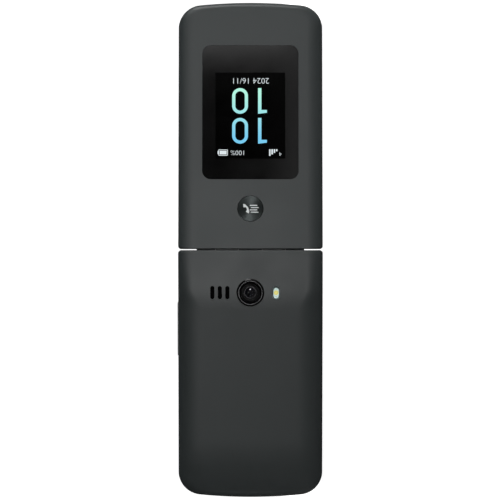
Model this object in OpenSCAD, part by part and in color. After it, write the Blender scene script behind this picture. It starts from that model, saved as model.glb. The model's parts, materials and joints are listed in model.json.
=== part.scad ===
// A clamshell phone, opened and stood on its long side like an open book.
// The hinge axis is upright. The keypad half points to -X and lies square to the frame, the lid
// points to +X. Each half is drawn in its own frame: u runs from the hinge axis to the far end,
// z runs along the hinge, and d is the depth below the inner face, positive towards the back.

/* [Halves] */
// Width of both halves, along the hinge
body_w = 57.9; // [55.9:0.5:61.9]
// Length of each half from the hinge axis
half_l = 99.7; // [97.7:0.5:105.7]
// Thickness of the keypad half
base_t = 10.6; // [10.4:0.1:12]
// Thickness of the lid
lid_t = 7.8; // [7.8:0.1:9]
// Angle between the inner faces as the phone stands
opening = 165; // [155:1:170]
// Gap between the inner faces of the closed phone
closed_gap = 0.5; // [0.5:0.05:0.7]
// Radius of the far corners
corner_r = 9.5; // [8:0.5:11]
// Radius of the crowned far ends
end_r = 205; // [150:5:400]
// Radius of the corners beside the hinge
near_corner_r = 1.3; // [0.8:0.1:2]
// Air between an end face and the plane midway between the halves
end_air = 0.2; // [0.15:0.05:0.4]

/* [Shells] */
// Side wall of the keypad case and the lid bezel
wall_t = 1.6; // [1.4:0.1:1.8]
// Face plate that the keys come through
face_t = 1.2; // [1.1:0.05:1.2]
// Depth of the seam between keypad case and back cover
base_seam = 6.4; // [6.2:0.1:6.6]
// Depth of the seam between lid bezel and lid cover
lid_seam = 3.2; // [3.2:0.1:3.6]
// Thickness of the back cover
cover_t = 1.1; // [0.9:0.05:1.2]
// Thickness of the lid cover
lid_cover_t = 1.5; // [1.3:0.05:1.6]
// Width of the rounded sides of the lid and of the camera platform
roll_w = 6.4; // [5:0.2:7]
// Width of the rounded sides of the battery area
broad_roll_w = 10.4; // [9:0.2:11]
// Width of the rounding at the far ends
end_roll_w = 2.4; // [1.5:0.1:3]
// Height of the rounding round the lid
lid_roll_h = 2.4; // [1.8:0.1:2.8]
// Depth of the back at the hinge, where the camera platform starts
platform_d = 8.15; // [7.95:0.05:8.4]
// Slope of the camera platform
platform_slope = 7.5; // [6:0.5:9]
// Radius that blends the platform into the battery area
blend_r = 70; // [50:5:90]
// Length of the chin, which curves down to the far end
chin_l = 23.5; // [18:0.5:24.5]
// Radius of the chin
chin_r = 100; // [90:5:140]

/* [Hinge] */
// Radius of the hinge barrel
barrel_r = 4.8; // [4.6:0.1:5]
// Length of the hinge barrel
barrel_l = 43.1; // [41:0.1:45]
// Length of the outer knuckles, on the keypad half
ear_l = 7.45; // [7:0.05:8]
// Length of the two lid knuckles
lid_knuckle_l = 9; // [8.5:0.1:9.5]
// Air between two knuckles
knuckle_air = 0.2; // [0.15:0.05:0.3]
// Air round a knuckle inside the other half
scoop_air = 0.3; // [0.2:0.05:0.4]
// Radius of the spring cartridge
cartridge_r = 3.28; // [3:0.02:3.4]
// Radius of the hollow pivot
pivot_r = 3; // [2.8:0.05:3.1]
// Radius of the passage for the ribbon through the pivot
passage_r = 1.9; // [1.6:0.1:2]
// Radius of the spigot that turns in the cartridge
spigot_r = 1.5; // [1.3:0.05:1.7]
// Radial clearance of the turning fits
fit = 0.05; // [0.03:0.01:0.08]

/* [Lid parts] */
// Width of the outer window
outer_window_w = 38.6; // [36:0.2:40]
// Distance from the hinge to the near edge of the outer window
outer_window_u = 27.4; // [27:0.2:30]
// Distance from the outer window to the far end
outer_window_end = 17.8; // [17:0.2:21]
// Corner radius of the outer window
outer_window_r = 3.4; // [2:0.2:5]
// Thickness of both windows
window_t = 1; // [0.8:0.05:1]
// Width of the lit area of the outer display
outer_active_w = 28; // [26:0.1:29]
// Length of the lit area of the outer display
outer_active_l = 35; // [33:0.1:36]
// How far the lit area of the outer display sits out of the middle of its window
outer_active_shift = 1.4; // [0:0.1:2]
// Radius of the round key on the lid
outer_key_r = 5.05; // [4.6:0.05:5.3]
// Distance from the hinge to the round key
outer_key_u = 15.5; // [15.2:0.1:16.5]
// Width of the inner window
inner_window_w = 50; // [49:0.2:51]
// Distance from the hinge to the inner window
inner_window_u = 12.5; // [12:0.1:13.5]
// Distance from the inner window to the far end
inner_window_end = 15.5; // [15:0.1:17]
// Width of the lit area of the main display
main_active_w = 43.2; // [42:0.1:44]
// Length of the lit area of the main display
main_active_l = 57.6; // [56:0.1:59]
// How far the lit area of the main display sits out of the middle of its window
main_active_shift = 0.7; // [0:0.1:1]

/* [Keypad] */
// Strip beside the keypad, on each side
keypad_margin = 3.85; // [3.8:0.05:4.2]
// Gap between two keycaps
key_gap = 1.3; // [1.2:0.05:1.6]
// Gap between the ring key and the row of function keys
function_gap = 2.05; // [1.9:0.05:2.4]
// Distance from the last number row to the far end
keypad_end = 17.4; // [17:0.1:18.5]
// Gap round a keycap in the face plate
cap_air = 0.15; // [0.1:0.01:0.2]
// Height of the keycaps above the face plate
cap_proud = 0.25; // [0.1:0.01:0.3]
// Width of the retaining flange round a key
flange_w = 0.4; // [0.35:0.01:0.4]
// Thickness of the retaining flange
flange_t = 0.4; // [0.35:0.01:0.4]
// Distance from the hinge to the middle of the ring key
nav_u = 21.5; // [21.4:0.1:22]
// Outer radius of the ring key
nav_r = 12.5; // [12:0.1:12.6]
// Radius of the centre key
ok_r = 5; // [4.6:0.1:5.2]

/* [Base parts] */
// Distance from the hinge to the camera, flash and loudspeaker slots
camera_u = 16; // [15.8:0.1:16.6]
// Outer radius of the camera ring
camera_ring_r = 5.5; // [5.2:0.1:5.8]
// Distance from the camera to the flash
flash_z = 10.3; // [10.1:0.1:11]
// Distance from the camera to the middle loudspeaker slot
speaker_z = 12.2; // [12:0.1:12.6]
// Distance between two loudspeaker slots
slot_pitch = 3; // [2.6:0.05:3.2]
// Width of a loudspeaker slot
slot_w = 1.64; // [1.4:0.02:1.8]
// Length of a loudspeaker slot
slot_l = 5.3; // [4.8:0.1:5.6]
// Length of the volume rocker
rocker_l = 21.1; // [18:0.1:22]
// Distance from the hinge to the middle of the volume rocker
rocker_u = 31.5; // [31:0.1:33]
// Height of the volume rocker across the thickness of the phone
rocker_h = 3.2; // [2.8:0.1:3.2]
// Radius of the headset socket's bore
jack_bore_r = 1.8; // [1.75:0.01:1.85]
// Depth of the headset socket's bore
jack_bore_l = 10; // [9:0.5:10]
// Gap between the headset socket and the screw boss beside it
jack_gap = 1.2; // [0.8:0.1:1.4]
// Distance from the battery to the far end
battery_end = 19; // [19:0.5:22]
// Width of the battery
battery_w = 38; // [34:0.5:38]

/* [Hidden] */
$fn = 64;
KEYS = ["key_1", "key_2", "key_3", "key_4", "key_5", "key_6", "key_7", "key_8", "key_9",
        "key_star", "key_0", "key_hash"];
SIDE_KEYS = ["soft_key_left", "soft_key_right", "shortcut_key_left", "shortcut_key_right",
             "call_key", "clear_key", "end_key"];

eps = 0.01;
past = 3;
half_w = body_w / 2;
hinge_gap = closed_gap / 2;
lean = (180 - opening) / 2;

// Rings of the moulded shells
near_steps = 3;
corner_steps = 6;
end_steps = 4;
roll_steps = 6;
inner_roll_steps = 4;
roll_start = 0.3;
near_roll = 0.3;
seat_air = 0.05;
// Corner radii at the hinge: where the slanting end is cut later, and inside a wall
raw_near_r = 0.1;
inner_near_r = 1;
// Width of the step inside the camera ring's rim
ring_lip = 0.2;
// Radial air of the cartridge in the lid's knuckles
cartridge_air = 0.02;

// Depths inside the keypad half
board_d = 2.5;
board_t = 0.8;
board_back = board_d + board_t;
mat_t = 0.4;
frame_d = 4.45;
frame_t = 0.6;
frame_back = frame_d + frame_t;
tray_wall = 1;
inner_air = 1.55;
block_u = 7;
board_u = 8.6;
board_z = half_w - wall_t - inner_air;
boss_air = 0.1;

// Depths inside the lid
window_recess = 0.15;
ledge_t = 0.7;
bezel_face_t = window_recess + window_t + ledge_t;
main_display_t = 1.2;
lid_board_d = 3.4;
lid_board_t = 0.8;
lid_board_back = lid_board_d + lid_board_t;
outer_recess = 0.1;
outer_seat_d = lid_t - outer_recess - window_t;
outer_ledge_d = outer_seat_d - ledge_t;
ledge_w = 1.6;
view_margin = 1;
window_corner_r = 2;
outer_window_l = half_l - outer_window_end - outer_window_u;
outer_active_u = outer_window_u + (outer_window_l - outer_active_l) / 2 - outer_active_shift;
outer_border = 2.5;
inner_window_l = half_l - inner_window_end - inner_window_u;
main_active_u = inner_window_u + (inner_window_l - main_active_l) / 2 - main_active_shift;
main_border = 3.2;
lid_board_start = 11.1;
lid_board_end = 12;
lid_board_in = 7.75;
lid_board_z = half_w - lid_board_in;
connector_end = 20;
connector_l = 10;
connector_w = 16;
earpiece_end = 7.4;
earpiece_u = half_l - earpiece_end;
earpiece_l = 6;
earpiece_w = 14;
earpiece_t = 2.6;
ear_slot_l = 1.6;
ear_slot_w = 10;
ear_slot_air = 0.05;
magnet_end = 6.5;
magnet_l = 3;
magnet_w = 6;
magnet_z = 13;
magnet_t = 2.15;
dome_r = 2.4;
dome_t = 0.4;
outer_key_air = 0.2;
outer_key_proud = 0.15;
outer_key_lip = 0.8;
outer_key_lip_t = 0.8;
outer_key_lip_air = 0.1;
outer_key_stem_air = 0.75;

// Screws and their bosses
screw_r = 0.8;
head_r = 1.5;
head_t = 0.8;
boss_r = 2.3;
bumper_r = 1.6;
bumper_proud = 0.45;
bumper_seat = 0.6;
near_screw_u = 9.2;
near_screw_in = 3.75;
near_screw_z = half_w - near_screw_in;
far_screw_end = 6.6;
far_screw_u = half_l - far_screw_end;
far_screw_in = 7.25;
far_screw_z = half_w - far_screw_in;
lid_thread_l = 2;

// Hinge barrel, half of it
ear_out = barrel_l / 2;
ear_in = ear_out - ear_l;
lid_out = ear_in - knuckle_air;
lid_in = lid_out - lid_knuckle_l;
mid_out = lid_in - knuckle_air;
cap_t = 0.6;
scoop_r = barrel_r + scoop_air;
barrel_wall = 1;
shaft_lap = 0.8;
coil_r = barrel_r - 1.4;
coil_t = 0.3;
coil_pitch = 0.7;
flex_w = 4.8;
flex_t = 0.2;
flex_d = face_t + 0.25;
flex_slot_w = 5;
flex_slot_air = 0.1;
flex_gap = 0.5;
flex_drop_t = 0.5;
flex_foot_l = 1;

// Back of the keypad half
chin_u = half_l - chin_l;
chin_step = 3;
blend_margin = 2;
blend_end = (base_t - platform_d) / tan(platform_slope) + blend_r * tan(platform_slope / 2);
blend_start = blend_end - blend_r * sin(platform_slope);
side_stations = concat([for (i = [0:5]) blend_start - blend_margin
                           + i * (blend_end - blend_start + 2 * blend_margin) / 5],
                       [for (i = [0:3]) chin_u + i * chin_step]);
lid_stations = [half_l * 0.35, half_l * 0.6, half_l * 0.8];

// Keypad
function_trim = 1;
function_key_u = nav_u + nav_r + function_gap;
row_pitch = (half_l - keypad_end - function_key_u + (key_gap + function_trim) / 2) / 4.5;
function_row_u = function_key_u + (row_pitch - key_gap - function_trim) / 2;
first_row_u = function_row_u + row_pitch;
col_pitch = (body_w - 2 * keypad_margin) / 3;
cap_l = row_pitch - key_gap;
cap_w = col_pitch - key_gap;
cap_r = 1.4;
key_flange_d = face_t + seat_air;
key_bottom = key_flange_d + flange_t;
mat_d = board_d - mat_t;
side_key_gap = 1.35;
side_key_end = half_w - keypad_margin + 0.15;
side_key_w = side_key_end - nav_r - side_key_gap;
side_key_z = side_key_end - side_key_w / 2;
side_key_l = 6;
side_key_du = 6.1;
ok_air = 0.4;
ok_flange_w = 0.7;
ok_stem_l = 0.1;
ok_dome_r = 2.5;
nav_air = 0.2;
nav_edge = 0.3;
nav_edge_h = 0.2;
nav_flange_d = face_t + 0.48;
nav_flange_r = nav_r + 0.7;
nav_bottom = nav_flange_d + 0.27;
nav_plate = 0.9;
nav_proud = 0.1;
nav_skirt_r = nav_r - 1.8;
pad_r = nav_skirt_r - 0.7;
pad_bore_r = ok_r + 1;
pad_d = nav_plate + 0.25;
pad_t = 0.6;
nub_r = 0.4;
nub_u = (pad_r + pad_bore_r) / 2;
nub_air = 0.03;
nav_well_r = nav_flange_r + 0.8;

// Volume rocker
rocker_d = 3.4;
rocker_proud = 0.3;
rocker_air = 0.1;
rocker_lip = 0.7;
rocker_lip_t = 0.65;
rocker_wall_air = 0.3;

// Sockets at the far end
port_d = 3.75;
usb_w = 9;
usb_h = 3.2;
usb_l = 8;
usb_mouth_w = 8.4;
usb_mouth_h = 2.6;
usb_mouth_l = 6.5;
jack_nose_r = 2.4;
jack_w = 6;
jack_h = 5;
jack_body_l = 9;
end_inner_u = half_l - wall_t;
socket_air = 0.3;
usb_sunk = 0.4;
usb_tongue_w = 6.8;
usb_tongue_t = 0.7;
usb_tongue_sunk = 1.2;
jack_body_air = 1.2;
jack_sunk = 0.8;
jack_z = far_screw_z - boss_r - jack_gap - jack_w / 2;
mic_z = (usb_w / 2 + jack_z - jack_w / 2) / 2;
mic_hole_r = 0.5;
mic_end = 2.8;
mic_l = 3;
mic_w = 2.8;
mic_t = 1.1;
motor_r = 4;
motor_t = 2.7;
motor_end = 8;
motor_gap = 3.7;
motor_z = far_screw_z - boss_r - motor_gap - motor_r;

// Parts in the camera platform, as heights above it
camera_tilt = platform_slope / 2;
ring_proud = 0.3;
ring_bevel = 0.3;
ring_depth = 1;
inside_reach = 6.5;
glass_r = camera_ring_r - 1.1;
ring_bore_r = camera_ring_r - 1.6;
glass_seat = -0.6;
glass_top = -0.05;
flash_w = 3;
flash_l = 5.4;
sensor_w = 8.4;
sensor_t = 2.2;
lens_barrel_r = ring_bore_r - 0.5;
lens_barrel_l = 3.7;
lens_barrel_low = -4.5;
led_l = 5;
led_w = 3.4;
led_r = 0.3;
led_top = -1.7;
chip_r = 0.8;
chip_t = 0.4;
speaker_l = 10.6;
speaker_w = 14;
speaker_r = 1;
speaker_base_air = 0.1;
speaker_air = 0.6;

// Round and under the battery
battery_u = 31;
battery_l = half_l - battery_end - battery_u;
battery_r = 1;
cover_air = 0.2;
battery_top = base_t - cover_t - cover_air;
tray_drop = 1;
contact_drop = 2;
contact_l = 2.2;
contact_gap = 0.2;
contact_u = battery_u - contact_gap - contact_l;
contact_w = 9;
contact_air = 0.3;
can_air = 0.1;
can_gap = 3;
can_u = battery_u + 2;
can_end_u = battery_u + battery_l / 2;
can_in = 4.6;
can_z = board_z - can_in;
sim_l = 14;
sim_w = 16;
sim_air = 0.2;
sim_sunk = 0.45;
sim_u = can_end_u + can_gap;
far_can_end = 15;
far_can_in = 5.6;
far_can_z = board_z - far_can_in;
platform_room_end = 1;
platform_room_air = 1.3;
platform_room_u = board_u + platform_room_end;
platform_room_low = flash_z + flash_l;
platform_room_high = speaker_z + speaker_w / 2 + platform_room_air;
socket_room_l = 13;
motor_room = 2.5;
jack_room = 0.8;
socket_room_low = motor_z + motor_r + motor_room;
socket_room_high = jack_z + jack_w / 2 + jack_room;

// Where the hinge axis stands, so that the middle of the underside of the whole is the origin
lid_reach = (half_l - end_roll_w) * cos(2 * lean)
    + (hinge_gap + lid_t - lid_roll_h) * sin(2 * lean)
    + norm([end_roll_w * cos(2 * lean), lid_roll_h * sin(2 * lean)]);
lid_front = half_l * sin(2 * lean) - hinge_gap * cos(2 * lean);
ring_reach = back_depth(camera_u) + (camera_ring_r - ring_bevel) * sin(camera_tilt)
    + ring_proud * cos(camera_tilt);
axis_at = [(half_l - lid_reach) / 2, (max(base_t, ring_reach) + hinge_gap - lid_front) / 2,
           half_w];

// ---------------------------------------------------------------- frames of the two halves

module on_base() {
    translate(axis_at) mirror([1, 0, 0]) children();
}

module on_lid() {
    translate(axis_at) rotate([0, 0, 2 * lean]) children();
}

// A flat shape in u and z, between two depths
module slab(d0, d1) {
    translate([0, -hinge_gap - d0, 0]) rotate([90, 0, 0]) linear_extrude(d1 - d0) children();
}

// What is turned about an axis through the thickness, its own z being the depth
module turned(u, z) {
    translate([u, -hinge_gap, z]) rotate([90, 0, 0]) children();
}

module rod(u, z, r, d0, d1) {
    turned(u, z) translate([0, 0, d0]) cylinder(r = r, h = d1 - d0);
}

module hinge_rod(r, z0, z1) {
    translate([0, 0, z0]) cylinder(r = r, h = z1 - z0);
}

// What sits in the camera platform, its own z pointing out of the phone
module on_platform(z) {
    translate([camera_u, -hinge_gap - back_depth(camera_u), z])
        rotate([0, 0, -camera_tilt]) rotate([90, 0, 0]) children();
}

module block(u0, u1, z0, z1) {
    translate([u0, z0]) square([u1 - u0, z1 - z0]);
}

function arc(c, r, a0, a1, n) =
    [for (i = [0:n]) let (a = a0 + (a1 - a0) * i / n) [c[0] + r * cos(a), c[1] + r * sin(a)]];

function rounded(lu, lz, r, n = 6) = concat(
    arc([lu / 2 - r, lz / 2 - r], r, 0, 90, n), arc([r - lu / 2, lz / 2 - r], r, 90, 180, n),
    arc([r - lu / 2, r - lz / 2], r, 180, 270, n), arc([lu / 2 - r, r - lz / 2], r, 270, 360, n));

module rounded_block(u, z, lu, lz, r, n = 6) {
    translate([u, z]) polygon(rounded(lu, lz, r, n));
}

// ---------------------------------------------------------------- outline and moulded shells

// Depth of the back of the keypad half: platform, blend, battery area and chin
function back_depth(u) =
    u > chin_u ? base_t - chin_r + sqrt(chin_r * chin_r - pow(u - chin_u, 2))
    : u > blend_end ? base_t
    : u > blend_start ? base_t - blend_r + sqrt(blend_r * blend_r - pow(blend_end - u, 2))
    : platform_d + tan(platform_slope) * u;

// Width of the rounded side: narrow beside the platform, broad beside the battery
function side_roll(u) =
    let (t = min(1, max(0, (u - blend_start) / (blend_end - blend_start))))
    roll_w + (broad_roll_w - roll_w) * t * t * (3 - 2 * t);

// Where the end face beside the hinge lies at the depth d
function near_end(d) = end_air / cos(lean) - tan(lean) * (d + hinge_gap);

// One side of a half's outline, from the hinge to the middle of the far end: a near corner, sides
// at widths[i] at stations[i], a round corner and an end that is an arc.
function outline_side(near_r, near_u, stations, widths, far_u, far_r) =
    let (w = widths[len(widths) - 1], re = end_r - (half_l - far_u), ec = far_u - re,
         cz = w - far_r, cu = ec + sqrt(pow(re - far_r, 2) - cz * cz), meet = atan2(cz, cu - ec))
    concat(arc([near_u + near_r, widths[0] - near_r], near_r, 180, 90, near_steps),
           [for (i = [0:len(stations) - 1]) [stations[i], widths[i]]],
           arc([cu, cz], far_r, 90, meet, corner_steps),
           [for (i = [1:end_steps]) let (a = meet * (1 - i / (end_steps + 0.5)))
               [ec + re * cos(a), re * sin(a)]]);

function both_sides(p) =
    concat(p, [for (i = [len(p) - 1:-1:0]) [p[i][0], -p[i][1]]]);

// The full outline of a half, drawn in by inset, starting at near_u
function half_outline(near_r, near_u, inset, stations) =
    both_sides(outline_side(near_r, near_u, stations, [for (v = stations) half_w - inset],
                            half_l - inset, corner_r - inset));

// Points of a surface that goes straight up from d0 to side_d and then rolls over, from a lower
// outline onto a top one whose points lie at the depths tops[i]. With slant, its near end leans.
function rolled(lower, top, d0, side_d, tops, steps, slant) =
    let (n = len(lower), near = near_steps)
    [for (k = [-1:steps], i = [0:n - 1])
        let (a = 90 * max(k, 0) / steps, p = lower[i] + (top[i] - lower[i]) * (1 - cos(a)),
             d = k < 0 ? d0 : side_d + (tops[i] - side_d) * sin(a),
             shift = slant && (i <= near || i >= n - 1 - near) ? near_end(d) : 0)
        [p[0] + shift, -hinge_gap - d, p[1]]];

// Side faces and cap of such a surface, its first point being number first
function rolled_faces(n, steps, first) = concat(
    [for (k = [0:steps], i = [0:n - 1], f = [0, 1])
        let (j = (i + 1) % n, a = first + k * n, b = a + n)
        f == 0 ? [b + j, b + i, a + i] : [b + j, a + i, a + j]],
    [for (i = [0:n / 2 - 2]) let (last = first + (steps + 1) * n)
        [last + i, last + i + 1, last + n - 2 - i, last + n - 1 - i]]);

function turned_over(faces) = [for (f = faces) [for (i = [len(f) - 1:-1:0]) f[i]]];

// A moulded cover between an outer and an inner surface, open at the seam. Each surface is a list
// of its lower outline, its top outline and the depths of its top.
module moulded(outer, inner, seam, side_d) {
    n = len(outer[0]);
    steps = roll_steps;
    inside = (steps + 2) * n;
    rim = [for (i = [0:n - 1]) let (j = (i + 1) % n) [j, i, inside + i, inside + j]];
    polyhedron(
        concat(rolled(outer[0], outer[1], seam, side_d, outer[2], steps, true),
               rolled(inner[0], inner[1], seam, side_d, inner[2], inner_roll_steps, false)),
        concat(rolled_faces(n, steps, 0), rim,
               turned_over(rolled_faces(n, inner_roll_steps, inside))), convexity = 6);
}

// A surface of the back cover, drawn in by inset and lower by skin
function back_surface(near_u, near_r, inset, skin) =
    let (top = both_sides(outline_side(near_r / 2, near_u + near_roll, side_stations,
             [for (v = side_stations) half_w - side_roll(v) - inset / 2],
             half_l - end_roll_w - inset / 2, corner_r / 2)))
    [half_outline(near_r, near_u, inset, side_stations), top,
     [for (p = top) back_depth(p[0]) - skin]];

function lid_surface(near_u, near_r, inset, skin) =
    let (top = both_sides(outline_side(near_r / 2, near_u + near_roll, lid_stations,
             [for (v = lid_stations) half_w - roll_w - inset / 2],
             half_l - end_roll_w - inset / 2, corner_r * 0.6)))
    [half_outline(near_r, near_u, inset, lid_stations), top, [for (p = top) lid_t - skin]];

// Cuts a half off beside the hinge: its end face lies parallel to the plane midway between the
// halves of the opened phone, and its two near corners are round.
module near_end_cut() {
    reach = base_t + 2 * past;
    rotate([0, 0, lean]) translate([0, past, 0]) rotate([90, 0, 0]) linear_extrude(reach)
        difference() {
            translate([-half_w, -body_w]) square([half_w + end_air + near_corner_r, 2 * body_w]);
            translate([end_air + half_w, 0]) polygon(rounded(body_w, body_w, near_corner_r));
        }
}

// Room for the knuckles of the other half, from z0 to z1 on both sides of the middle
module scoops(r, z0, z1) {
    for (s = [0, 1]) mirror([0, 0, s]) hinge_rod(r, z0, z1);
}

module screw_places(near_only = false) {
    for (s = [-1, 1]) {
        translate([near_screw_u, 0, s * near_screw_z]) children();
        if (!near_only) translate([far_screw_u, 0, s * far_screw_z]) children();
    }
}

// ---------------------------------------------------------------- keypad half: shells

function key_place(i) = i < 12
    ? [first_row_u + floor(i / 3) * row_pitch, (i % 3 - 1) * col_pitch, cap_l, cap_w]
    : i < 16 ? [nav_u + (i < 14 ? -1 : 1) * side_key_du, (i % 2 == 0 ? -1 : 1) * side_key_z,
                side_key_l, side_key_w]
    : [function_row_u, (i - 17) * col_pitch, cap_l - function_trim, cap_w];

module key_outline(i, grow) {
    k = key_place(i);
    rounded_block(k[0], k[1], k[2] + 2 * grow, k[3] + 2 * grow, cap_r + grow);
}

module keycap(i) {
    color([0.13, 0.13, 0.14]) on_base() {
        slab(-cap_proud, key_flange_d) key_outline(i, 0);
        slab(key_flange_d, key_bottom) key_outline(i, flange_w);
    }
}

module jack_hole() {
    translate([half_l - past, -hinge_gap - port_d, jack_z]) rotate([0, 90, 0])
        cylinder(r = jack_nose_r + seat_air, h = 2 * past);
}

module keypad_case() {
    color([0.2, 0.21, 0.22]) on_base() difference() {
        union() {
            difference() {
                slab(0, base_seam) polygon(half_outline(raw_near_r, -past, 0, side_stations));
                slab(face_t, base_seam + past)
                    polygon(half_outline(inner_near_r, block_u, wall_t, side_stations));
                near_end_cut();
            }
            screw_places() rod(0, 0, boss_r, face_t - eps, frame_d);
            hinge_rod(barrel_r, -mid_out, mid_out);
            scoops(barrel_r, ear_in, ear_out);
        }
        scoops(scoop_r, mid_out, ear_in);
        hinge_rod(barrel_r - barrel_wall, -mid_out + barrel_wall, mid_out - barrel_wall);
        hinge_rod(pivot_r + fit, -ear_out + cap_t, -ear_in + eps);
        hinge_rod(pivot_r + fit, -mid_out - eps, -mid_out + barrel_wall + eps);
        hinge_rod(cartridge_r, ear_in - eps, ear_out - cap_t);
        hinge_rod(spigot_r + fit, mid_out - barrel_wall - eps, mid_out + eps);
        scoops(cartridge_r, ear_out - cap_t - eps, ear_out + eps);
        slab(flex_d - flex_slot_air, flex_d + flex_t + flex_slot_air)
            block(0, block_u + eps, -flex_slot_w / 2, flex_slot_w / 2);
        screw_places() rod(0, 0, screw_r + fit, face_t, frame_d + eps);
        for (i = [0:len(KEYS) + len(SIDE_KEYS) - 1]) slab(-eps, face_t + eps)
            key_outline(i, cap_air);
        rod(nav_u, 0, nav_r + nav_air, -eps, face_t + eps);
        translate([rocker_u, -hinge_gap - rocker_d, half_w]) cube([rocker_l + 2 * rocker_air,
            rocker_h + 2 * rocker_air, 4 * wall_t], center = true);
        jack_hole();
        slab(port_d - usb_h / 2 - seat_air, port_d + usb_h / 2 + seat_air)
            block(half_l - past, half_l + past, -usb_w / 2 - seat_air, usb_w / 2 + seat_air);
        translate([half_l - past, -hinge_gap - port_d, mic_z]) rotate([0, 90, 0])
            cylinder(r = mic_hole_r, h = 2 * past, $fn = 24);
    }
}

module back_cover() {
    color([0.24, 0.25, 0.26]) on_base() difference() {
        moulded(back_surface(0, near_corner_r, 0, 0),
                back_surface(block_u, inner_near_r, wall_t, cover_t),
                base_seam, base_seam + roll_start);
        on_platform(0) translate([0, 0, -2 * past]) cylinder(r = camera_ring_r + seat_air,
                                                             h = 3 * past);
        on_platform(-flash_z) translate([0, 0, -past]) linear_extrude(2 * past)
            polygon(rounded(flash_l + 2 * seat_air, flash_w + 2 * seat_air,
                            flash_w / 2 + seat_air - eps));
        for (i = [-1:1]) on_platform(speaker_z + i * slot_pitch) translate([0, 0, -past])
            linear_extrude(2 * past) polygon(rounded(slot_l, slot_w, slot_w / 2 - eps));
    }
}

// ---------------------------------------------------------------- keypad half: keys

module nav_ring() {
    color([0.35, 0.36, 0.38]) on_base() {
        turned(nav_u, 0) rotate_extrude() polygon([[ok_r + ok_air, -nav_proud],
            [nav_r - nav_edge, -nav_proud], [nav_r, nav_edge_h], [nav_r, nav_flange_d],
            [nav_flange_r, nav_flange_d], [nav_flange_r, nav_bottom],
            [nav_skirt_r, nav_bottom], [nav_skirt_r, nav_plate], [ok_r + ok_air, nav_plate]]);
        for (s = [-1, 1]) rod(nav_u + s * nub_u, 0, nub_r, nav_plate - eps, pad_d - nub_air);
    }
}

module nav_pad() {
    color([0.6, 0.6, 0.58]) on_base() {
        difference() {
            rod(nav_u, 0, pad_r, pad_d, pad_d + pad_t);
            rod(nav_u, 0, pad_bore_r, pad_d - eps, pad_d + pad_t + eps);
        }
        for (s = [-1, 1]) rod(nav_u, s * nub_u, nub_r, pad_d + pad_t - eps, board_d - nub_air);
    }
}

module ok_key() {
    color([0.5, 0.51, 0.53]) on_base() {
        rod(nav_u, 0, ok_r, -cap_proud, key_flange_d);
        rod(nav_u, 0, ok_r + ok_flange_w, key_flange_d - eps, key_bottom);
        rod(nav_u, 0, spigot_r, key_bottom - eps, key_bottom + ok_stem_l);
    }
}

module volume_rocker() {
    inner = half_w - wall_t - rocker_wall_air;
    color([0.16, 0.17, 0.18]) on_base() {
        translate([rocker_u, -hinge_gap - rocker_d, (inner + half_w + rocker_proud) / 2])
            cube([rocker_l, rocker_h, half_w + rocker_proud - inner], center = true);
        translate([rocker_u, -hinge_gap - rocker_d, inner - rocker_lip_t / 2])
            cube([rocker_l + 2 * rocker_lip, rocker_h, rocker_lip_t + eps], center = true);
    }
}

module keypad_mat() {
    color([0.85, 0.85, 0.82]) on_base() difference() {
        slab(mat_d, board_d) block(board_u, first_row_u + 3.5 * row_pitch, -board_z, board_z);
        rod(nav_u, 0, nav_well_r, 0, board_d + eps);
        screw_places(true) rod(0, 0, boss_r + boss_air, 0, board_d + eps);
    }
}

// ---------------------------------------------------------------- keypad half: inside

// Outline of the flat parts that lie between the walls of the keypad case
module inside_outline() {
    polygon(half_outline(inner_near_r, board_u, wall_t + inner_air, side_stations));
}

module port_room() {
    block(half_l - usb_sunk - usb_l - socket_air, half_l, -usb_w / 2 - socket_air,
          usb_w / 2 + socket_air);
    block(end_inner_u - jack_body_air - jack_body_l - socket_air, half_l,
          jack_z - jack_w / 2 - socket_air, jack_z + jack_w / 2 + socket_air);
}

module main_board() {
    color([0.1, 0.3, 0.18]) on_base() {
        difference() {
            slab(board_d, board_back) inside_outline();
            slab(0, frame_d) port_room();
            screw_places() rod(0, 0, boss_r + boss_air, 0, frame_d);
        }
        rod(nav_u, 0, ok_dome_r, mat_d + seat_air, board_d + eps);
        slab(board_back - eps, battery_top - contact_drop)
            block(contact_u, contact_u + contact_l, -contact_w / 2, contact_w / 2);
    }
}

module shield_cans() {
    color([0.75, 0.76, 0.78]) on_base() {
        slab(board_back, frame_d - can_air) block(can_u, can_end_u, -can_z, can_z);
        slab(board_back, frame_d - can_air)
            block(sim_u + sim_l + can_gap, half_l - far_can_end, -far_can_z, sim_w / 2);
    }
}

module sim_holder() {
    color([0.78, 0.78, 0.8]) on_base() slab(board_back, frame_back - sim_sunk)
        block(sim_u, sim_u + sim_l, -sim_w / 2, sim_w / 2);
}

module mid_frame() {
    color([0.3, 0.31, 0.33]) on_base() difference() {
        union() {
            slab(frame_d, frame_back) inside_outline();
            slab(frame_back - eps, battery_top - tray_drop) block(battery_u - seat_air - tray_wall,
                battery_u + battery_l + seat_air + tray_wall,
                -battery_w / 2 - seat_air - tray_wall, battery_w / 2 + seat_air + tray_wall);
        }
        slab(frame_back, base_t) block(battery_u - seat_air, battery_u + battery_l + seat_air,
                                       -battery_w / 2 - seat_air, battery_w / 2 + seat_air);
        slab(0, base_t) block(platform_room_u, contact_u - contact_air + eps, -platform_room_low,
                              platform_room_high);
        slab(0, base_t) block(contact_u - contact_air, battery_u - seat_air + eps,
                              -contact_w / 2 - contact_air, contact_w / 2 + contact_air);
        slab(0, base_t) block(half_l - socket_room_l, half_l, -socket_room_low, socket_room_high);
        slab(0, base_t) block(sim_u - sim_air, sim_u + sim_l + sim_air, -sim_w / 2 - sim_air,
                              sim_w / 2 + sim_air);
        screw_places() rod(0, 0, screw_r + fit, 0, base_t);
    }
}

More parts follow.
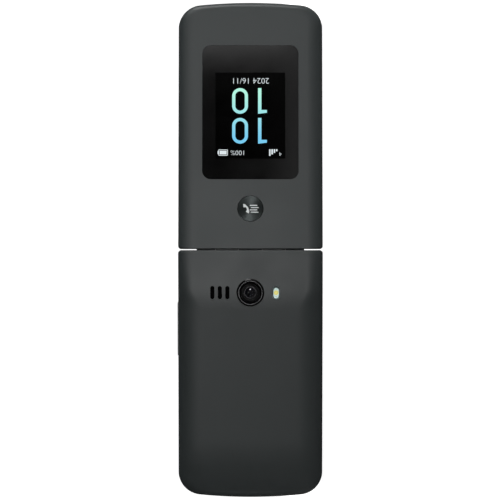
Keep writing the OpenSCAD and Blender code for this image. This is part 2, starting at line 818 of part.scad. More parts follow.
module frame_screws() {
    color([0.7, 0.7, 0.72]) on_base() screw_places() {
        rod(0, 0, head_r, frame_back, frame_back + head_t);
        rod(0, 0, screw_r, face_t + scoop_air, frame_back + eps);
    }
}

module battery() {
    color([0.12, 0.13, 0.2]) on_base() slab(frame_back, battery_top)
        rounded_block(battery_u + battery_l / 2, 0, battery_l, battery_w, battery_r);
}

module camera_module() {
    color([0.08, 0.08, 0.09]) on_base() on_platform(0) {
        translate([0, 0, sensor_t / 2 - inside_reach])
            cube([sensor_w, sensor_w, sensor_t], center = true);
        translate([0, 0, lens_barrel_low]) cylinder(r = lens_barrel_r, h = lens_barrel_l);
    }
}

module camera_ring() {
    color([0.05, 0.05, 0.05]) on_base() on_platform(0) rotate_extrude() polygon([
        [ring_bore_r, -ring_depth], [camera_ring_r, -ring_depth],
        [camera_ring_r, ring_proud - ring_bevel], [camera_ring_r - ring_bevel, ring_proud],
        [glass_r + ring_lip, ring_proud], [glass_r + seat_air, 0],
        [glass_r + seat_air, glass_seat], [ring_bore_r, glass_seat]]);
}

module camera_glass() {
    color([0.1, 0.1, 0.12]) on_base() on_platform(0) translate([0, 0, glass_seat])
        cylinder(r = glass_r, h = glass_top - glass_seat);
}

module flash_lens() {
    color([0.9, 0.9, 0.88]) on_base() on_platform(-flash_z) translate([0, 0, -cover_t])
        linear_extrude(cover_t) polygon(rounded(flash_l, flash_w, flash_w / 2 - eps));
}

module flash_led() {
    color([0.95, 0.85, 0.3]) on_base() on_platform(-flash_z) {
        translate([0, 0, -inside_reach]) linear_extrude(inside_reach + led_top)
            polygon(rounded(led_l, led_w, led_r));
        translate([0, 0, led_top - seat_air]) cylinder(r = chip_r, h = chip_t);
    }
}

module loudspeaker() {
    top = cover_t + speaker_air;
    depth = inside_reach - speaker_base_air;
    color([0.15, 0.15, 0.16]) on_base() on_platform(speaker_z) translate([0, 0, -depth])
        linear_extrude(depth - top) polygon(rounded(speaker_l, speaker_w, speaker_r));
}

module usb_socket() {
    color([0.7, 0.7, 0.72]) on_base() difference() {
        translate([half_l - usb_sunk - usb_l, -hinge_gap - port_d, 0]) rotate([0, 90, 0])
            linear_extrude(usb_l) polygon(rounded(usb_w, usb_h, usb_h / 2 - eps));
        difference() {
            translate([half_l - usb_sunk - usb_mouth_l, -hinge_gap - port_d, 0]) rotate([0, 90, 0])
                linear_extrude(usb_l) polygon(rounded(usb_mouth_w, usb_mouth_h,
                                                      usb_mouth_h / 2 - eps));
            translate([half_l - usb_tongue_sunk - usb_l / 2, -hinge_gap - port_d, 0])
                cube([usb_l, usb_tongue_t, usb_tongue_w], center = true);
        }
    }
}

module headset_jack() {
    u = end_inner_u - jack_body_air;
    nose_u = half_l - jack_sunk;
    color([0.1, 0.1, 0.1]) on_base() difference() {
        union() {
            slab(port_d - jack_h / 2, port_d + jack_h / 2)
                block(u - jack_body_l, u, jack_z - jack_w / 2, jack_z + jack_w / 2);
            translate([u - eps, -hinge_gap - port_d, jack_z]) rotate([0, 90, 0])
                cylinder(r = jack_nose_r, h = nose_u - u + eps);
        }
        translate([nose_u - jack_bore_l, -hinge_gap - port_d, jack_z]) rotate([0, 90, 0])
            cylinder(r = jack_bore_r, h = jack_bore_l + past);
    }
}

module microphone() {
    color([0.75, 0.75, 0.7]) on_base() slab(board_back, board_back + mic_t)
        block(half_l - mic_end - mic_l, half_l - mic_end, mic_z - mic_w / 2, mic_z + mic_w / 2);
}

module vibration_motor() {
    color([0.7, 0.71, 0.72]) on_base()
        rod(half_l - motor_end, -motor_z, motor_r, board_back, board_back + motor_t);
}

// ---------------------------------------------------------------- hinge

module hinge_cartridge() {
    color([0.55, 0.56, 0.58]) on_lid() difference() {
        hinge_rod(cartridge_r, lid_in + knuckle_air, lid_out - fit);
        hinge_rod(spigot_r + fit, lid_in, lid_out + eps);
    }
}

module hinge_cam_shaft() {
    color([0.7, 0.71, 0.73]) on_base() {
        hinge_rod(cartridge_r - fit, ear_in + fit, ear_out - cap_t - fit);
        hinge_rod(spigot_r, mid_out - shaft_lap, ear_in + 2 * fit);
    }
}

module hinge_pivot() {
    color([0.7, 0.71, 0.73]) on_base() difference() {
        hinge_rod(pivot_r, -ear_out + cap_t + fit, -mid_out + shaft_lap);
        hinge_rod(passage_r, -ear_out, -mid_out + barrel_wall);
    }
}

// The ribbon that joins the two boards: a coil in the middle knuckle, and a tail that passes
// between the hinge wall and the board onto the back of the board
module hinge_flex() {
    w = flex_w / 2;
    inner_r = coil_r - coil_pitch;
    color([0.8, 0.55, 0.2]) on_base() {
        difference() {
            hinge_rod(coil_r, -w, w);
            hinge_rod(coil_r - coil_t, -w - eps, w + eps);
        }
        difference() {
            hinge_rod(inner_r, -w, w);
            hinge_rod(inner_r - coil_t, -w - eps, w + eps);
            translate([-coil_r, 0, -w - eps]) cube([coil_r, coil_r, flex_w + 2 * eps]);
        }
        slab(flex_d, flex_d + flex_t) block(inner_r, board_u - flex_gap, -w, w);
        slab(flex_d, board_back + flex_t)
            block(board_u - flex_gap - flex_drop_t, board_u - flex_gap, -w, w);
        slab(board_back, board_back + flex_t)
            block(board_u - flex_gap - flex_drop_t, board_u + flex_foot_l, -w, w);
    }
}

module hinge_caps() {
    color([0.15, 0.15, 0.16]) on_base() scoops(cartridge_r - fit, ear_out - cap_t, ear_out);
}

// ---------------------------------------------------------------- lid

module lid_bezel() {
    color([0.06, 0.06, 0.07]) on_lid() difference() {
        union() {
            difference() {
                slab(0, lid_seam) polygon(half_outline(raw_near_r, -past, 0, lid_stations));
                slab(bezel_face_t, lid_seam + past)
                    polygon(half_outline(inner_near_r, block_u, wall_t, lid_stations));
                near_end_cut();
            }
            screw_places() rod(0, 0, boss_r, bezel_face_t - eps, lid_seam);
            scoops(barrel_r, lid_in, lid_out);
        }
        hinge_rod(scoop_r, -lid_in, lid_in);
        scoops(scoop_r, lid_out, ear_out + knuckle_air);
        hinge_rod(cartridge_r + cartridge_air, lid_in - eps, lid_out + eps);
        hinge_rod(pivot_r + fit, -lid_out - eps, -lid_in + eps);
        slab(-eps, window_recess + window_t) window_outline(seat_air);
        slab(0, bezel_face_t + eps) block(main_active_u - view_margin,
            main_active_u + main_active_l + view_margin, -main_active_w / 2 - view_margin,
            main_active_w / 2 + view_margin);
        slab(-eps, bezel_face_t + eps)
            rounded_block(earpiece_u, 0, ear_slot_l, ear_slot_w, ear_slot_l / 2 - eps);
        screw_places() {
            rod(0, 0, bumper_r + seat_air, -eps, bumper_seat + head_t + boss_air);
            rod(0, 0, screw_r + fit, 0, lid_seam + eps);
        }
    }
}

module window_outline(grow) {
    rounded_block(inner_window_u + inner_window_l / 2, 0, inner_window_l + 2 * grow,
                  inner_window_w + 2 * grow, window_corner_r);
}

module lid_cover() {
    color([0.28, 0.29, 0.3]) on_lid() difference() {
        union() {
            moulded(lid_surface(0, near_corner_r, 0, 0),
                    lid_surface(block_u, inner_near_r, wall_t, lid_cover_t),
                    lid_seam, lid_t - lid_roll_h);
            slab(outer_ledge_d, outer_seat_d + eps) outer_window_outline(ledge_w);
            screw_places() rod(0, 0, boss_r, lid_seam, lid_t - lid_cover_t + eps);
        }
        slab(outer_seat_d, lid_t + past) outer_window_outline(seat_air);
        slab(outer_ledge_d - eps, lid_t) block(outer_active_u - view_margin,
            outer_active_u + outer_active_l + view_margin, -outer_active_w / 2 - view_margin,
            outer_active_w / 2 + view_margin);
        rod(outer_key_u, 0, outer_key_r + outer_key_air, lid_seam, lid_t + past);
        hinge_rod(scoop_r, -lid_in, lid_in);
        scoops(scoop_r, lid_out, ear_out + knuckle_air);
        scoops(barrel_r + fit, lid_in, lid_out);
        screw_places() rod(0, 0, screw_r + fit, lid_seam - eps, lid_seam + lid_thread_l + cap_air);
    }
}

module outer_window_outline(grow) {
    rounded_block(outer_window_u + outer_window_l / 2, 0, outer_window_l + 2 * grow,
                  outer_window_w + 2 * grow, outer_window_r);
}

module outer_window() {
    color([0.02, 0.02, 0.03]) on_lid() slab(outer_seat_d, outer_seat_d + window_t)
        outer_window_outline(0);
}

module outer_display() {
    color([0.1, 0.2, 0.3]) on_lid() slab(lid_board_back, outer_ledge_d)
        block(outer_active_u - outer_border, outer_active_u + outer_active_l + 2 * outer_border,
              -outer_active_w / 2 - outer_border, outer_active_w / 2 + outer_border);
}

module outer_key() {
    top = lid_t - lid_cover_t - outer_key_lip_air;
    low = top - outer_key_lip_t;
    color([0.3, 0.31, 0.33]) on_lid() {
        rod(outer_key_u, 0, outer_key_r, top - eps, lid_t + outer_key_proud);
        rod(outer_key_u, 0, outer_key_r + outer_key_lip, low, top);
        rod(outer_key_u, 0, spigot_r, lid_board_back + outer_key_stem_air, low + eps);
    }
}

module inner_window() {
    color([0.02, 0.02, 0.03]) on_lid() slab(window_recess, window_recess + window_t)
        window_outline(0);
}

module main_display() {
    color([0.1, 0.2, 0.3]) on_lid() slab(bezel_face_t, bezel_face_t + main_display_t)
        block(main_active_u - main_border, main_active_u + main_active_l + 2 * main_border,
              -main_active_w / 2 - main_border, main_active_w / 2 + main_border);
}

module lid_board() {
    color([0.1, 0.3, 0.18]) on_lid() {
        slab(lid_board_d, lid_board_back)
            block(lid_board_start, half_l - lid_board_end, -lid_board_z, lid_board_z);
        slab(bezel_face_t + main_display_t, lid_board_d + eps)
            block(half_l - connector_end - connector_l, half_l - connector_end,
                  -connector_w / 2, connector_w / 2);
        rod(outer_key_u, 0, dome_r, lid_board_back - eps, lid_board_back + dome_t);
    }
}

module earpiece() {
    color([0.4, 0.4, 0.42]) on_lid() slab(bezel_face_t, bezel_face_t + earpiece_t)
        rounded_block(earpiece_u, 0, earpiece_l, earpiece_w, speaker_r);
}

module earpiece_mesh() {
    l = ear_slot_l - 2 * ear_slot_air;
    color([0.3, 0.3, 0.3]) on_lid() slab(bezel_face_t - window_t, bezel_face_t)
        rounded_block(earpiece_u, 0, l, ear_slot_w - 2 * ear_slot_air, l / 2 - eps);
}

module lid_magnet() {
    color([0.7, 0.7, 0.72]) on_lid() slab(bezel_face_t, bezel_face_t + magnet_t)
        block(half_l - magnet_end - magnet_l, half_l - magnet_end, -magnet_z - magnet_w / 2,
              -magnet_z + magnet_w / 2);
}

module lid_bumpers() {
    color([0.1, 0.1, 0.1]) on_lid() screw_places() rod(0, 0, bumper_r, -bumper_proud, bumper_seat);
}

module lid_screws() {
    color([0.7, 0.7, 0.72]) on_lid() screw_places() {
        rod(0, 0, head_r, bumper_seat, bumper_seat + head_t + boss_air);
        rod(0, 0, screw_r, bumper_seat + head_t, lid_seam + lid_thread_l);
    }
}

// ---------------------------------------------------------------- the pieces

keypad_case();
back_cover();
mid_frame();
main_board();
shield_cans();
keypad_mat();
battery();
camera_module();
camera_ring();
camera_glass();
flash_lens();
flash_led();
loudspeaker();
usb_socket();
headset_jack();
microphone();
sim_holder();
vibration_motor();
frame_screws();
volume_rocker();
nav_ring();
nav_pad();
ok_key();
lid_cover();
lid_bezel();
outer_window();
outer_display();
outer_key();
inner_window();
main_display();
lid_board();
earpiece();
earpiece_mesh();
lid_magnet();
lid_bumpers();
lid_screws();
hinge_cartridge();
hinge_cam_shaft();
hinge_pivot();
hinge_flex();
hinge_caps();
for (i = [0:len(KEYS) - 1]) keycap(i);
for (i = [0:len(SIDE_KEYS) - 1])
    keycap(len(KEYS) + i);
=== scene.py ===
# %% [markdown]
# # A clamshell phone, opened and stood on its long side
# The construction comes from the imported model: every rigid piece is already at its real size and
# place. This file adds what the eye needs: smooth moulded shells, glass, brushed metal, printed
# legends, the picture on the small outer display, the light and the camera. We load the frame
# first.

# %% Load the frame
import json
import math

import bmesh
import bpy
from mathutils import Matrix, Vector


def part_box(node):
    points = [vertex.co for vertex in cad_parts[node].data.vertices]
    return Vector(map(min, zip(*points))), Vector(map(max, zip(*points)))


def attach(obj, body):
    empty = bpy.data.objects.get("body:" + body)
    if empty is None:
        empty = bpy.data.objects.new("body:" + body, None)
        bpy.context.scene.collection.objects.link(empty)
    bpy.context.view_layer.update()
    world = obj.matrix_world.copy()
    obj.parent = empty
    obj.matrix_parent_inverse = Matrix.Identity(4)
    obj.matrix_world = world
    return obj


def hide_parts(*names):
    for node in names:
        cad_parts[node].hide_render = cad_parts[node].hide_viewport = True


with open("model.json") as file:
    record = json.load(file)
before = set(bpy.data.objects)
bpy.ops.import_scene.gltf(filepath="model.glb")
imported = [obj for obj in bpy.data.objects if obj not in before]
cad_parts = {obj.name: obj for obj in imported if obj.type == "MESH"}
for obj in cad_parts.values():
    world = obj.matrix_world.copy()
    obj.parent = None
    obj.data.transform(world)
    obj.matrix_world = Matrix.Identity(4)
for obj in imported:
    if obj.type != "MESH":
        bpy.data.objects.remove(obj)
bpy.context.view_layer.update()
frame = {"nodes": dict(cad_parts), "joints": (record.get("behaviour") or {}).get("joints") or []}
NODES = frame["nodes"]

# %% [markdown]
# ## Two halves, two local frames
# Each half of the phone is easiest to describe by itself: u runs from the hinge to the far end,
# z runs along the hinge, and the depth d is counted from the inner face towards the back. We write
# sizes in millimetres, and two matrices carry them to their places: one mirrors the base to the
# left, the other turns the lid by the fifteen degrees that are missing to a flat phone.

# %% Local frames of the two halves
JOINTS = {joint["name"]: joint for joint in frame["joints"]}
HINGE = Vector(JOINTS["lid_hinge"]["pos_m"])
FULL_OPENING = 180.0
OPENING = JOINTS["lid_hinge"]["range_deg"][1]
LEAN = math.radians(FULL_OPENING - OPENING) / 2
CLOSED_GAP = 0.5
HALF_GAP = CLOSED_GAP / 2
MM = 0.001

TO_METRES = Matrix.Scale(MM, 4)
BASE = Matrix.Translation(HINGE) @ Matrix.Diagonal((-1, 1, 1, 1)) @ TO_METRES
LID = Matrix.Translation(HINGE) @ Matrix.Rotation(2 * LEAN, 4, "Z") @ TO_METRES

case_low, case_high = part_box("keypad_case")
BODY_W = (case_high.z - case_low.z) / MM
HALF_W = BODY_W / 2
HALF_L = (HINGE.x - case_low.x) / MM
print("half width and length, mm:", round(HALF_W, 2), round(HALF_L, 2))


def spot(u, z, depth):
    """A point of a half, in its own millimetres."""
    return Vector((u, -HALF_GAP - depth, z))


def depth_of(node, half, pick):
    """Depth of a node's highest or lowest point below the inner face of its half."""
    to_half = half.inverted()
    return pick(-HALF_GAP - (to_half @ v.co).y for v in NODES[node].data.vertices)


BASE_SEAM = depth_of("keypad_case", BASE, max)
LID_SEAM = depth_of("lid_cover", LID, min)
BASE_T = depth_of("back_cover", BASE, max)
LID_T = depth_of("lid_cover", LID, max)
print("seams and thicknesses, mm:", [round(v, 2) for v in (BASE_SEAM, LID_SEAM, BASE_T, LID_T)])

# %% [markdown]
# ## Building blocks for meshes
# Most pieces here are drawn as a flat outline and pushed along the depth, or as a profile turned
# about an axis. Both start from a few short functions that make arcs and rounded rectangles. A
# finished mesh is carried to its place by its half's matrix, gets outward normals, and is shaded
# smooth except where two faces meet at a real edge.

# %% Outlines
def arc(centre, radius, start, end, steps):
    """Points on a circle's arc, angles in degrees."""
    angles = [math.radians(start + (end - start) * i / steps) for i in range(steps + 1)]
    return [(centre[0] + radius * math.cos(a), centre[1] + radius * math.sin(a)) for a in angles]


def rounded(centre, length, width, radius, steps=8):
    """A rectangle with round corners, as points in u and z."""
    u, z = centre
    du, dz = length / 2 - radius, width / 2 - radius
    corners = ((du, dz, 0), (-du, dz, 90), (-du, -dz, 180), (du, -dz, 270))
    return [p for a, b, turn in corners for p in arc((u + a, z + b), radius, turn, turn + 90, steps)]


def circle(centre, radius, steps=64):
    return arc(centre, radius, 0, 360 * (steps - 1) / steps, steps - 1)


# %% Meshes
EDGE_ANGLE = math.radians(32)


def put_in_scene(name, mesh):
    """An object for a mesh, with all its faces turned outwards."""
    piece = bpy.data.objects.new(name, mesh)
    bpy.context.scene.collection.objects.link(piece)
    bm = bmesh.new()
    bm.from_mesh(mesh)
    bmesh.ops.recalc_face_normals(bm, faces=bm.faces)
    bm.to_mesh(mesh)
    bm.free()
    return piece


def shade_smooth(piece):
    piece.data.polygons.foreach_set("use_smooth", [True] * len(piece.data.polygons))
    piece.data.set_sharp_from_angle(angle=EDGE_ANGLE)


def new_piece(name, points, faces, half):
    """A mesh object from points in a half's own millimetres."""
    mesh = bpy.data.meshes.new(name)
    mesh.from_pydata([half @ Vector(p) for p in points], [], faces)
    piece = put_in_scene(name, mesh)
    shade_smooth(piece)
    return piece


def pushed_faces(n):
    """Two ends and the sides between them, for an outline of n points that is pushed."""
    faces = [tuple(range(n)), tuple(reversed(range(n, 2 * n)))]
    faces += [(i, (i + 1) % n, n + (i + 1) % n, n + i) for i in range(n)]
    return faces


def prism(name, outline, top, bottom, half):
    """An outline in u and z, pushed from one depth to another."""
    points = [spot(u, z, d) for d in (top, bottom) for u, z in outline]
    return new_piece(name, points, pushed_faces(len(outline)), half)


def lathe(name, profile, place, half, steps=96):
    """A profile of radius and height, turned about place's own z axis."""
    turns = [2 * math.pi * i / steps for i in range(steps)]
    points, rings = [], []
    for radius, height in profile:
        if radius == 0:
            rings.append([len(points)] * steps)
            points.append(place @ Vector((0, 0, height)))
            continue
        rings.append(list(range(len(points), len(points) + steps)))
        points += [place @ Vector((radius * math.cos(a), radius * math.sin(a), height))
                   for a in turns]
    faces = []
    for low, high in zip(rings, rings[1:]):
        for i in range(steps):
            j = (i + 1) % steps
            corners = dict.fromkeys((low[i], low[j], high[j], high[i]))
            if len(corners) > 2:
                faces.append(tuple(corners))
    return new_piece(name, points, faces, half)


def carve(piece, cutters):
    """Cuts the cutters out of a piece and throws them away."""
    for cutter in cutters:
        cut = piece.modifiers.new("cut", "BOOLEAN")
        cut.operation = "DIFFERENCE"
        cut.solver = "EXACT"
        cut.object = cutter
    bpy.context.view_layer.update()
    shown = piece.evaluated_get(bpy.context.evaluated_depsgraph_get())
    mesh = bpy.data.meshes.new_from_object(shown)
    piece.modifiers.clear()
    old = piece.data
    piece.data = mesh
    bpy.data.meshes.remove(old)
    for cutter in cutters:
        bpy.data.objects.remove(cutter)
    shade_smooth(piece)
    return piece


def settle(piece, body, finish, slot, *replaced):
    """Gives a piece its body and finish, and hides the nodes that it stands for; slot is not used.
    """
    piece.data.materials.clear()
    piece.data.materials.append(finish)
    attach(piece, body)
    if replaced:
        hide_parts(*replaced)
    return piece


# %% [markdown]
# ## Moulded plastic
# The shells are dyed plastic with a very fine spark-eroded texture: matte, but with a faint sheen
# that gathers light from a big lamp. We get it from two scales of noise. The fine one is a bump of
# a few microns, the coarse one changes the roughness a little, as handling does.

# %% Finish helpers
def new_finish(name):
    finish = bpy.data.materials.new(name)
    finish.use_nodes = True
    nodes = finish.node_tree.nodes
    return finish, nodes, finish.node_tree.links, nodes["Principled BSDF"]


NOISE_LOW, NOISE_HIGH = 0.3, 0.7


def noise(nodes, links, size_mm, detail):
    """Noise whose grains are about size_mm across, in the object's own space."""
    place = nodes.new("ShaderNodeTexCoord")
    grain = nodes.new("ShaderNodeTexNoise")
    grain.inputs["Scale"].default_value = 1 / (size_mm * MM)
    grain.inputs["Detail"].default_value = detail
    links.new(place.outputs["Object"], grain.inputs["Vector"])
    return grain.outputs["Fac"]


def spread(nodes, links, value, low, high):
    """Maps a noise value onto a range."""
    scale = nodes.new("ShaderNodeMapRange")
    scale.inputs["From Min"].default_value = NOISE_LOW
    scale.inputs["From Max"].default_value = NOISE_HIGH
    scale.inputs["To Min"].default_value = low
    scale.inputs["To Max"].default_value = high
    links.new(value, scale.inputs["Value"])
    return scale.outputs["Result"]


def tinted(nodes, links, value, dark, light):
    """Mixes two colours by a noise value."""
    ramp = nodes.new("ShaderNodeValToRGB")
    ramp.color_ramp.elements[0].position = NOISE_LOW
    ramp.color_ramp.elements[0].color = (*dark, 1)
    ramp.color_ramp.elements[1].position = NOISE_HIGH
    ramp.color_ramp.elements[1].color = (*light, 1)
    links.new(value, ramp.inputs["Fac"])
    return ramp.outputs["Color"]


def bumped(nodes, links, surface, value, microns):
    bump = nodes.new("ShaderNodeBump")
    bump.inputs["Distance"].default_value = microns * 1e-6
    bump.inputs["Strength"].default_value = 1.0
    links.new(value, bump.inputs["Height"])
    links.new(bump.outputs["Normal"], surface.inputs["Normal"])


def moulded_plastic(name, colour, roughness, grain_mm=0.12, microns=3.0, specular=0.5):
    finish, nodes, links, surface = new_finish(name)
    fine = noise(nodes, links, grain_mm, 3.0)
    broad = noise(nodes, links, 14.0, 4.0)
    dark = tuple(c * 0.93 for c in colour)
    light = tuple(c * 1.07 for c in colour)
    links.new(tinted(nodes, links, fine, dark, light), surface.inputs["Base Color"])
    links.new(spread(nodes, links, broad, roughness - 0.03, roughness + 0.03),
              surface.inputs["Roughness"])
    surface.inputs["Specular IOR Level"].default_value = specular
    bumped(nodes, links, surface, fine, microns)
    return finish


# %% The plastics of this phone
COVER_PLASTIC = moulded_plastic("soft_grey_cover", (0.034, 0.0405, 0.041), 0.42)
CASE_PLASTIC = moulded_plastic("matte_dark_case", (0.022, 0.024, 0.026), 0.45)
BEZEL_PLASTIC = moulded_plastic("satin_black_bezel", (0.012, 0.012, 0.013), 0.3, 0.2, 1.5)
KEY_PLASTIC = moulded_plastic("satin_black_key", (0.010, 0.010, 0.011), 0.33, 0.2, 1.5)
GLOSS_BLACK = moulded_plastic("gloss_black_trim", (0.003, 0.003, 0.003), 0.06, 0.5, 0.3)
GAUZE = moulded_plastic("fine_black_gauze", (0.004, 0.004, 0.004), 0.7, 0.15, 25.0)
RUBBER = moulded_plastic("grey_rubber", (0.02, 0.02, 0.021), 0.75, 0.3, 6.0)
SILICONE = moulded_plastic("milky_silicone", (0.5, 0.5, 0.47), 0.5, 0.3, 3.0)
BATTERY_WRAP = moulded_plastic("battery_wrap", (0.02, 0.025, 0.045), 0.35, 0.6, 4.0)
AMBER_FILM = moulded_plastic("amber_ribbon_film", (0.45, 0.2, 0.03), 0.25, 0.5, 1.0)
BOARD_GREEN = moulded_plastic("green_board", (0.012, 0.09, 0.035), 0.4, 0.7, 12.0)

# %% [markdown]
# ## Metal
# The round key on the lid and the ring key are turned dark metal. Turning leaves fine circular
# grooves, so light gathers in two wedges. An anisotropic reflection about the key's own axis gives
# those wedges, and rings of noise give the grooves.

# %% Plain and turned metal
def plain_metal(name, colour, roughness):
    finish, nodes, links, surface = new_finish(name)
    fine = noise(nodes, links, 0.4, 3.0)
    dark = tuple(c * 0.9 for c in colour)
    links.new(tinted(nodes, links, fine, dark, colour), surface.inputs["Base Color"])
    links.new(spread(nodes, links, fine, roughness - 0.05, roughness + 0.05),
              surface.inputs["Roughness"])
    surface.inputs["Metallic"].default_value = 1.0
    bumped(nodes, links, surface, fine, 1.0)
    return finish


def turned_metal(name, colour, roughness, centre, axis, groove_mm=0.06, anisotropy=0.85):
    """Metal turned about an axis through centre: grooves run round it."""
    finish, nodes, links, surface = new_finish(name)
    place = nodes.new("ShaderNodeTexCoord")
    arm = nodes.new("ShaderNodeVectorMath")
    arm.operation = "SUBTRACT"
    arm.inputs[1].default_value = centre
    links.new(place.outputs["Object"], arm.inputs[0])
    across = nodes.new("ShaderNodeVectorMath")
    across.operation = "CROSS_PRODUCT"
    across.inputs[1].default_value = axis
    links.new(arm.outputs["Vector"], across.inputs[0])
    radius = nodes.new("ShaderNodeVectorMath")
    radius.operation = "LENGTH"
    links.new(across.outputs["Vector"], radius.inputs[0])
    rings = nodes.new("ShaderNodeTexNoise")
    rings.noise_dimensions = "1D"
    rings.inputs["Scale"].default_value = 1 / (groove_mm * MM)
    rings.inputs["Detail"].default_value = 3.0
    links.new(radius.outputs["Value"], rings.inputs["W"])
    dark = tuple(c * 0.8 for c in colour)
    light = tuple(min(1, c * 1.15) for c in colour)
    links.new(tinted(nodes, links, rings.outputs["Fac"], dark, light),
              surface.inputs["Base Color"])
    outward = nodes.new("ShaderNodeVectorMath")
    outward.operation = "CROSS_PRODUCT"
    outward.inputs[0].default_value = axis
    links.new(across.outputs["Vector"], outward.inputs[1])
    along = nodes.new("ShaderNodeVectorMath")
    along.operation = "NORMALIZE"
    links.new(outward.outputs["Vector"], along.inputs[0])
    links.new(along.outputs["Vector"], surface.inputs["Tangent"])
    surface.inputs["Metallic"].default_value = 1.0
    surface.inputs["Roughness"].default_value = roughness
    surface.inputs["Anisotropic"].default_value = anisotropy
    bumped(nodes, links, surface, rings.outputs["Fac"], 0.8)
    return finish


STEEL = plain_metal("plain_steel", (0.55, 0.55, 0.56), 0.3)
DARK_CAST = plain_metal("dark_cast_frame", (0.12, 0.125, 0.13), 0.5)

# %% [markdown]
# ## Glass and light
# The two big windows are black printed glass: seen from outside they are a deep black with a clear
# reflection. The camera glass and the flash lens really let light through. What the outer display
# shows is drawn with thin glowing inlays, so it stays sharp at any size.

# %% Glass and glowing finishes
def printed_glass(name, colour=(0.0006, 0.0006, 0.0007), smooth=0.065, smeared=0.09):
    finish, nodes, links, surface = new_finish(name)
    smear = noise(nodes, links, 9.0, 3.0)
    surface.inputs["Base Color"].default_value = (*colour, 1)
    links.new(spread(nodes, links, smear, smooth, smeared), surface.inputs["Roughness"])
    surface.inputs["Specular IOR Level"].default_value = 0.5
    return finish


def clear_glass(name, tint, roughness, cover=0.12):
    """Thin clear glass: mostly see-through, with a faint tint and a reflection."""
    finish, nodes, links, surface = new_finish(name)
    smear = noise(nodes, links, 3.0, 2.0)
    dark = tuple(c * 0.9 for c in tint)
    links.new(tinted(nodes, links, smear, dark, tint), surface.inputs["Base Color"])
    links.new(spread(nodes, links, smear, roughness, roughness + 0.03),
              surface.inputs["Roughness"])
    surface.inputs["Alpha"].default_value = cover
    return finish


def lit_surface(surface, links, colour, strength):
    surface.inputs["Base Color"].default_value = (0, 0, 0, 1)
    surface.inputs["Roughness"].default_value = 0.4
    surface.inputs["Specular IOR Level"].default_value = 0.0
    links.new(colour, surface.inputs["Emission Color"])
    surface.inputs["Emission Strength"].default_value = strength


def glowing(name, colour, strength=1.0):
    finish, nodes, links, surface = new_finish(name)
    cells = noise(nodes, links, 0.22, 0.0)
    dark = tuple(c * 0.96 for c in colour)
    lit_surface(surface, links, tinted(nodes, links, cells, dark, colour), strength)
    return finish


def glowing_fade(name, near, far, near_u, far_u, half):
    """A glow that fades from one colour to another along a half."""
    finish, nodes, links, surface = new_finish(name)
    place = nodes.new("ShaderNodeTexCoord")
    along = nodes.new("ShaderNodeVectorMath")
    along.operation = "DOT_PRODUCT"
    direction = (half.to_3x3() @ Vector((1, 0, 0))).normalized()
    along.inputs[1].default_value = direction
    links.new(place.outputs["Object"], along.inputs[0])
    scale = nodes.new("ShaderNodeMapRange")
    scale.inputs["From Min"].default_value = (half @ spot(near_u, 0, 0)).dot(direction)
    scale.inputs["From Max"].default_value = (half @ spot(far_u, 0, 0)).dot(direction)
    links.new(along.outputs["Value"], scale.inputs["Value"])
    ramp = nodes.new("ShaderNodeValToRGB")
    ramp.color_ramp.elements[0].color = (*near, 1)
    ramp.color_ramp.elements[1].color = (*far, 1)
    links.new(scale.outputs["Result"], ramp.inputs["Fac"])
    lit_surface(surface, links, ramp.outputs["Color"], 1.0)
    return finish


WINDOW_GLASS = printed_glass("black_printed_glass")
CAMERA_GLASS = clear_glass("camera_cover_glass", (0.004, 0.004, 0.006), 0.02)
FLASH_GLASS = clear_glass("flash_lens_glass", (0.6, 0.8, 0.8), 0.1, 0.1)
CLOCK_GLOW = glowing_fade("clock_digits", (0.19, 0.60, 0.88), (0.46, 0.93, 0.76), 44, 62, LID)
PALE_GLOW = glowing("pale_small_print", (0.75, 0.82, 0.85))
DEEP_BLACK = moulded_plastic("dark_display_area", (0.0004, 0.0004, 0.0004), 0.1, 0.3, 0.0, 0.06)
BLACK_FELT = moulded_plastic("black_felt", (0.0015, 0.0015, 0.0015), 0.9, 0.15, 20.0, 0.05)
# The flash chip glows though the flash is not lit: painted light.
PHOSPHOR_PAINTED_GLOW = glowing("yellow_phosphor_painted_glow", (0.95, 0.84, 0.22), 0.85)
WHITE_CUP_PAINTED_GLOW = moulded_plastic("white_reflector_cup_painted_glow", (0.8, 0.88, 0.88), 0.35, 0.5, 1.0)
# The cup gets a faint teal glow of its own: painted light, since the flash is not lit.
cup_glow_surface = WHITE_CUP_PAINTED_GLOW.node_tree.nodes["Principled BSDF"]
cup_glow_surface.inputs["Emission Color"].default_value = (0.68, 0.92, 0.92, 1)
cup_glow_surface.inputs["Emission Strength"].default_value = 0.35
RING_EDGE = plain_metal("grey_ring_edge", (0.13, 0.13, 0.135), 0.35)
RING_BLACK = moulded_plastic("black_camera_ring", (0.003, 0.003, 0.003), 0.06, 0.5, 0.3, 0.2)
LENS_BLACK = moulded_plastic("lens_barrel_black", (0.002, 0.002, 0.002), 0.5, 0.3, 1.0, 0.2)
LENS_COAT = printed_glass("coated_front_lens", (0.002, 0.002, 0.004), 0.02, 0.05)
LEGEND_WHITE = moulded_plastic("printed_legend", (0.62, 0.64, 0.65), 0.5, 0.3, 0.5)
LEGEND_GREEN = moulded_plastic("printed_green", (0.05, 0.45, 0.1), 0.5, 0.3, 0.5)
LEGEND_RED = moulded_plastic("printed_red", (0.6, 0.03, 0.02), 0.5, 0.3, 0.5)

# %% [markdown]
# ## The two moulded shells
# Lid cover and back cover are the two surfaces that the eye meets first. Their outline is a
# rectangle with two crisp corners beside the hinge, two round corners and a gently crowned far
# end. The side rolls over in a quarter of an ellipse onto the top. The same rule makes both, only
# the roll is narrow on the lid and beside the camera, and broad beside the battery.

# %% Outline of a half
CORNER_R = 9.5
END_R = 205.0
NEAR_R = 1.3
END_AIR = 0.2
ROLL_W = 6.4
BROAD_ROLL_W = 10.4
END_ROLL_W = 2.4
NEAR_ROLL = 0.35
NEAR_STEPS = 8
CORNER_STEPS = 20
END_STEPS = 14


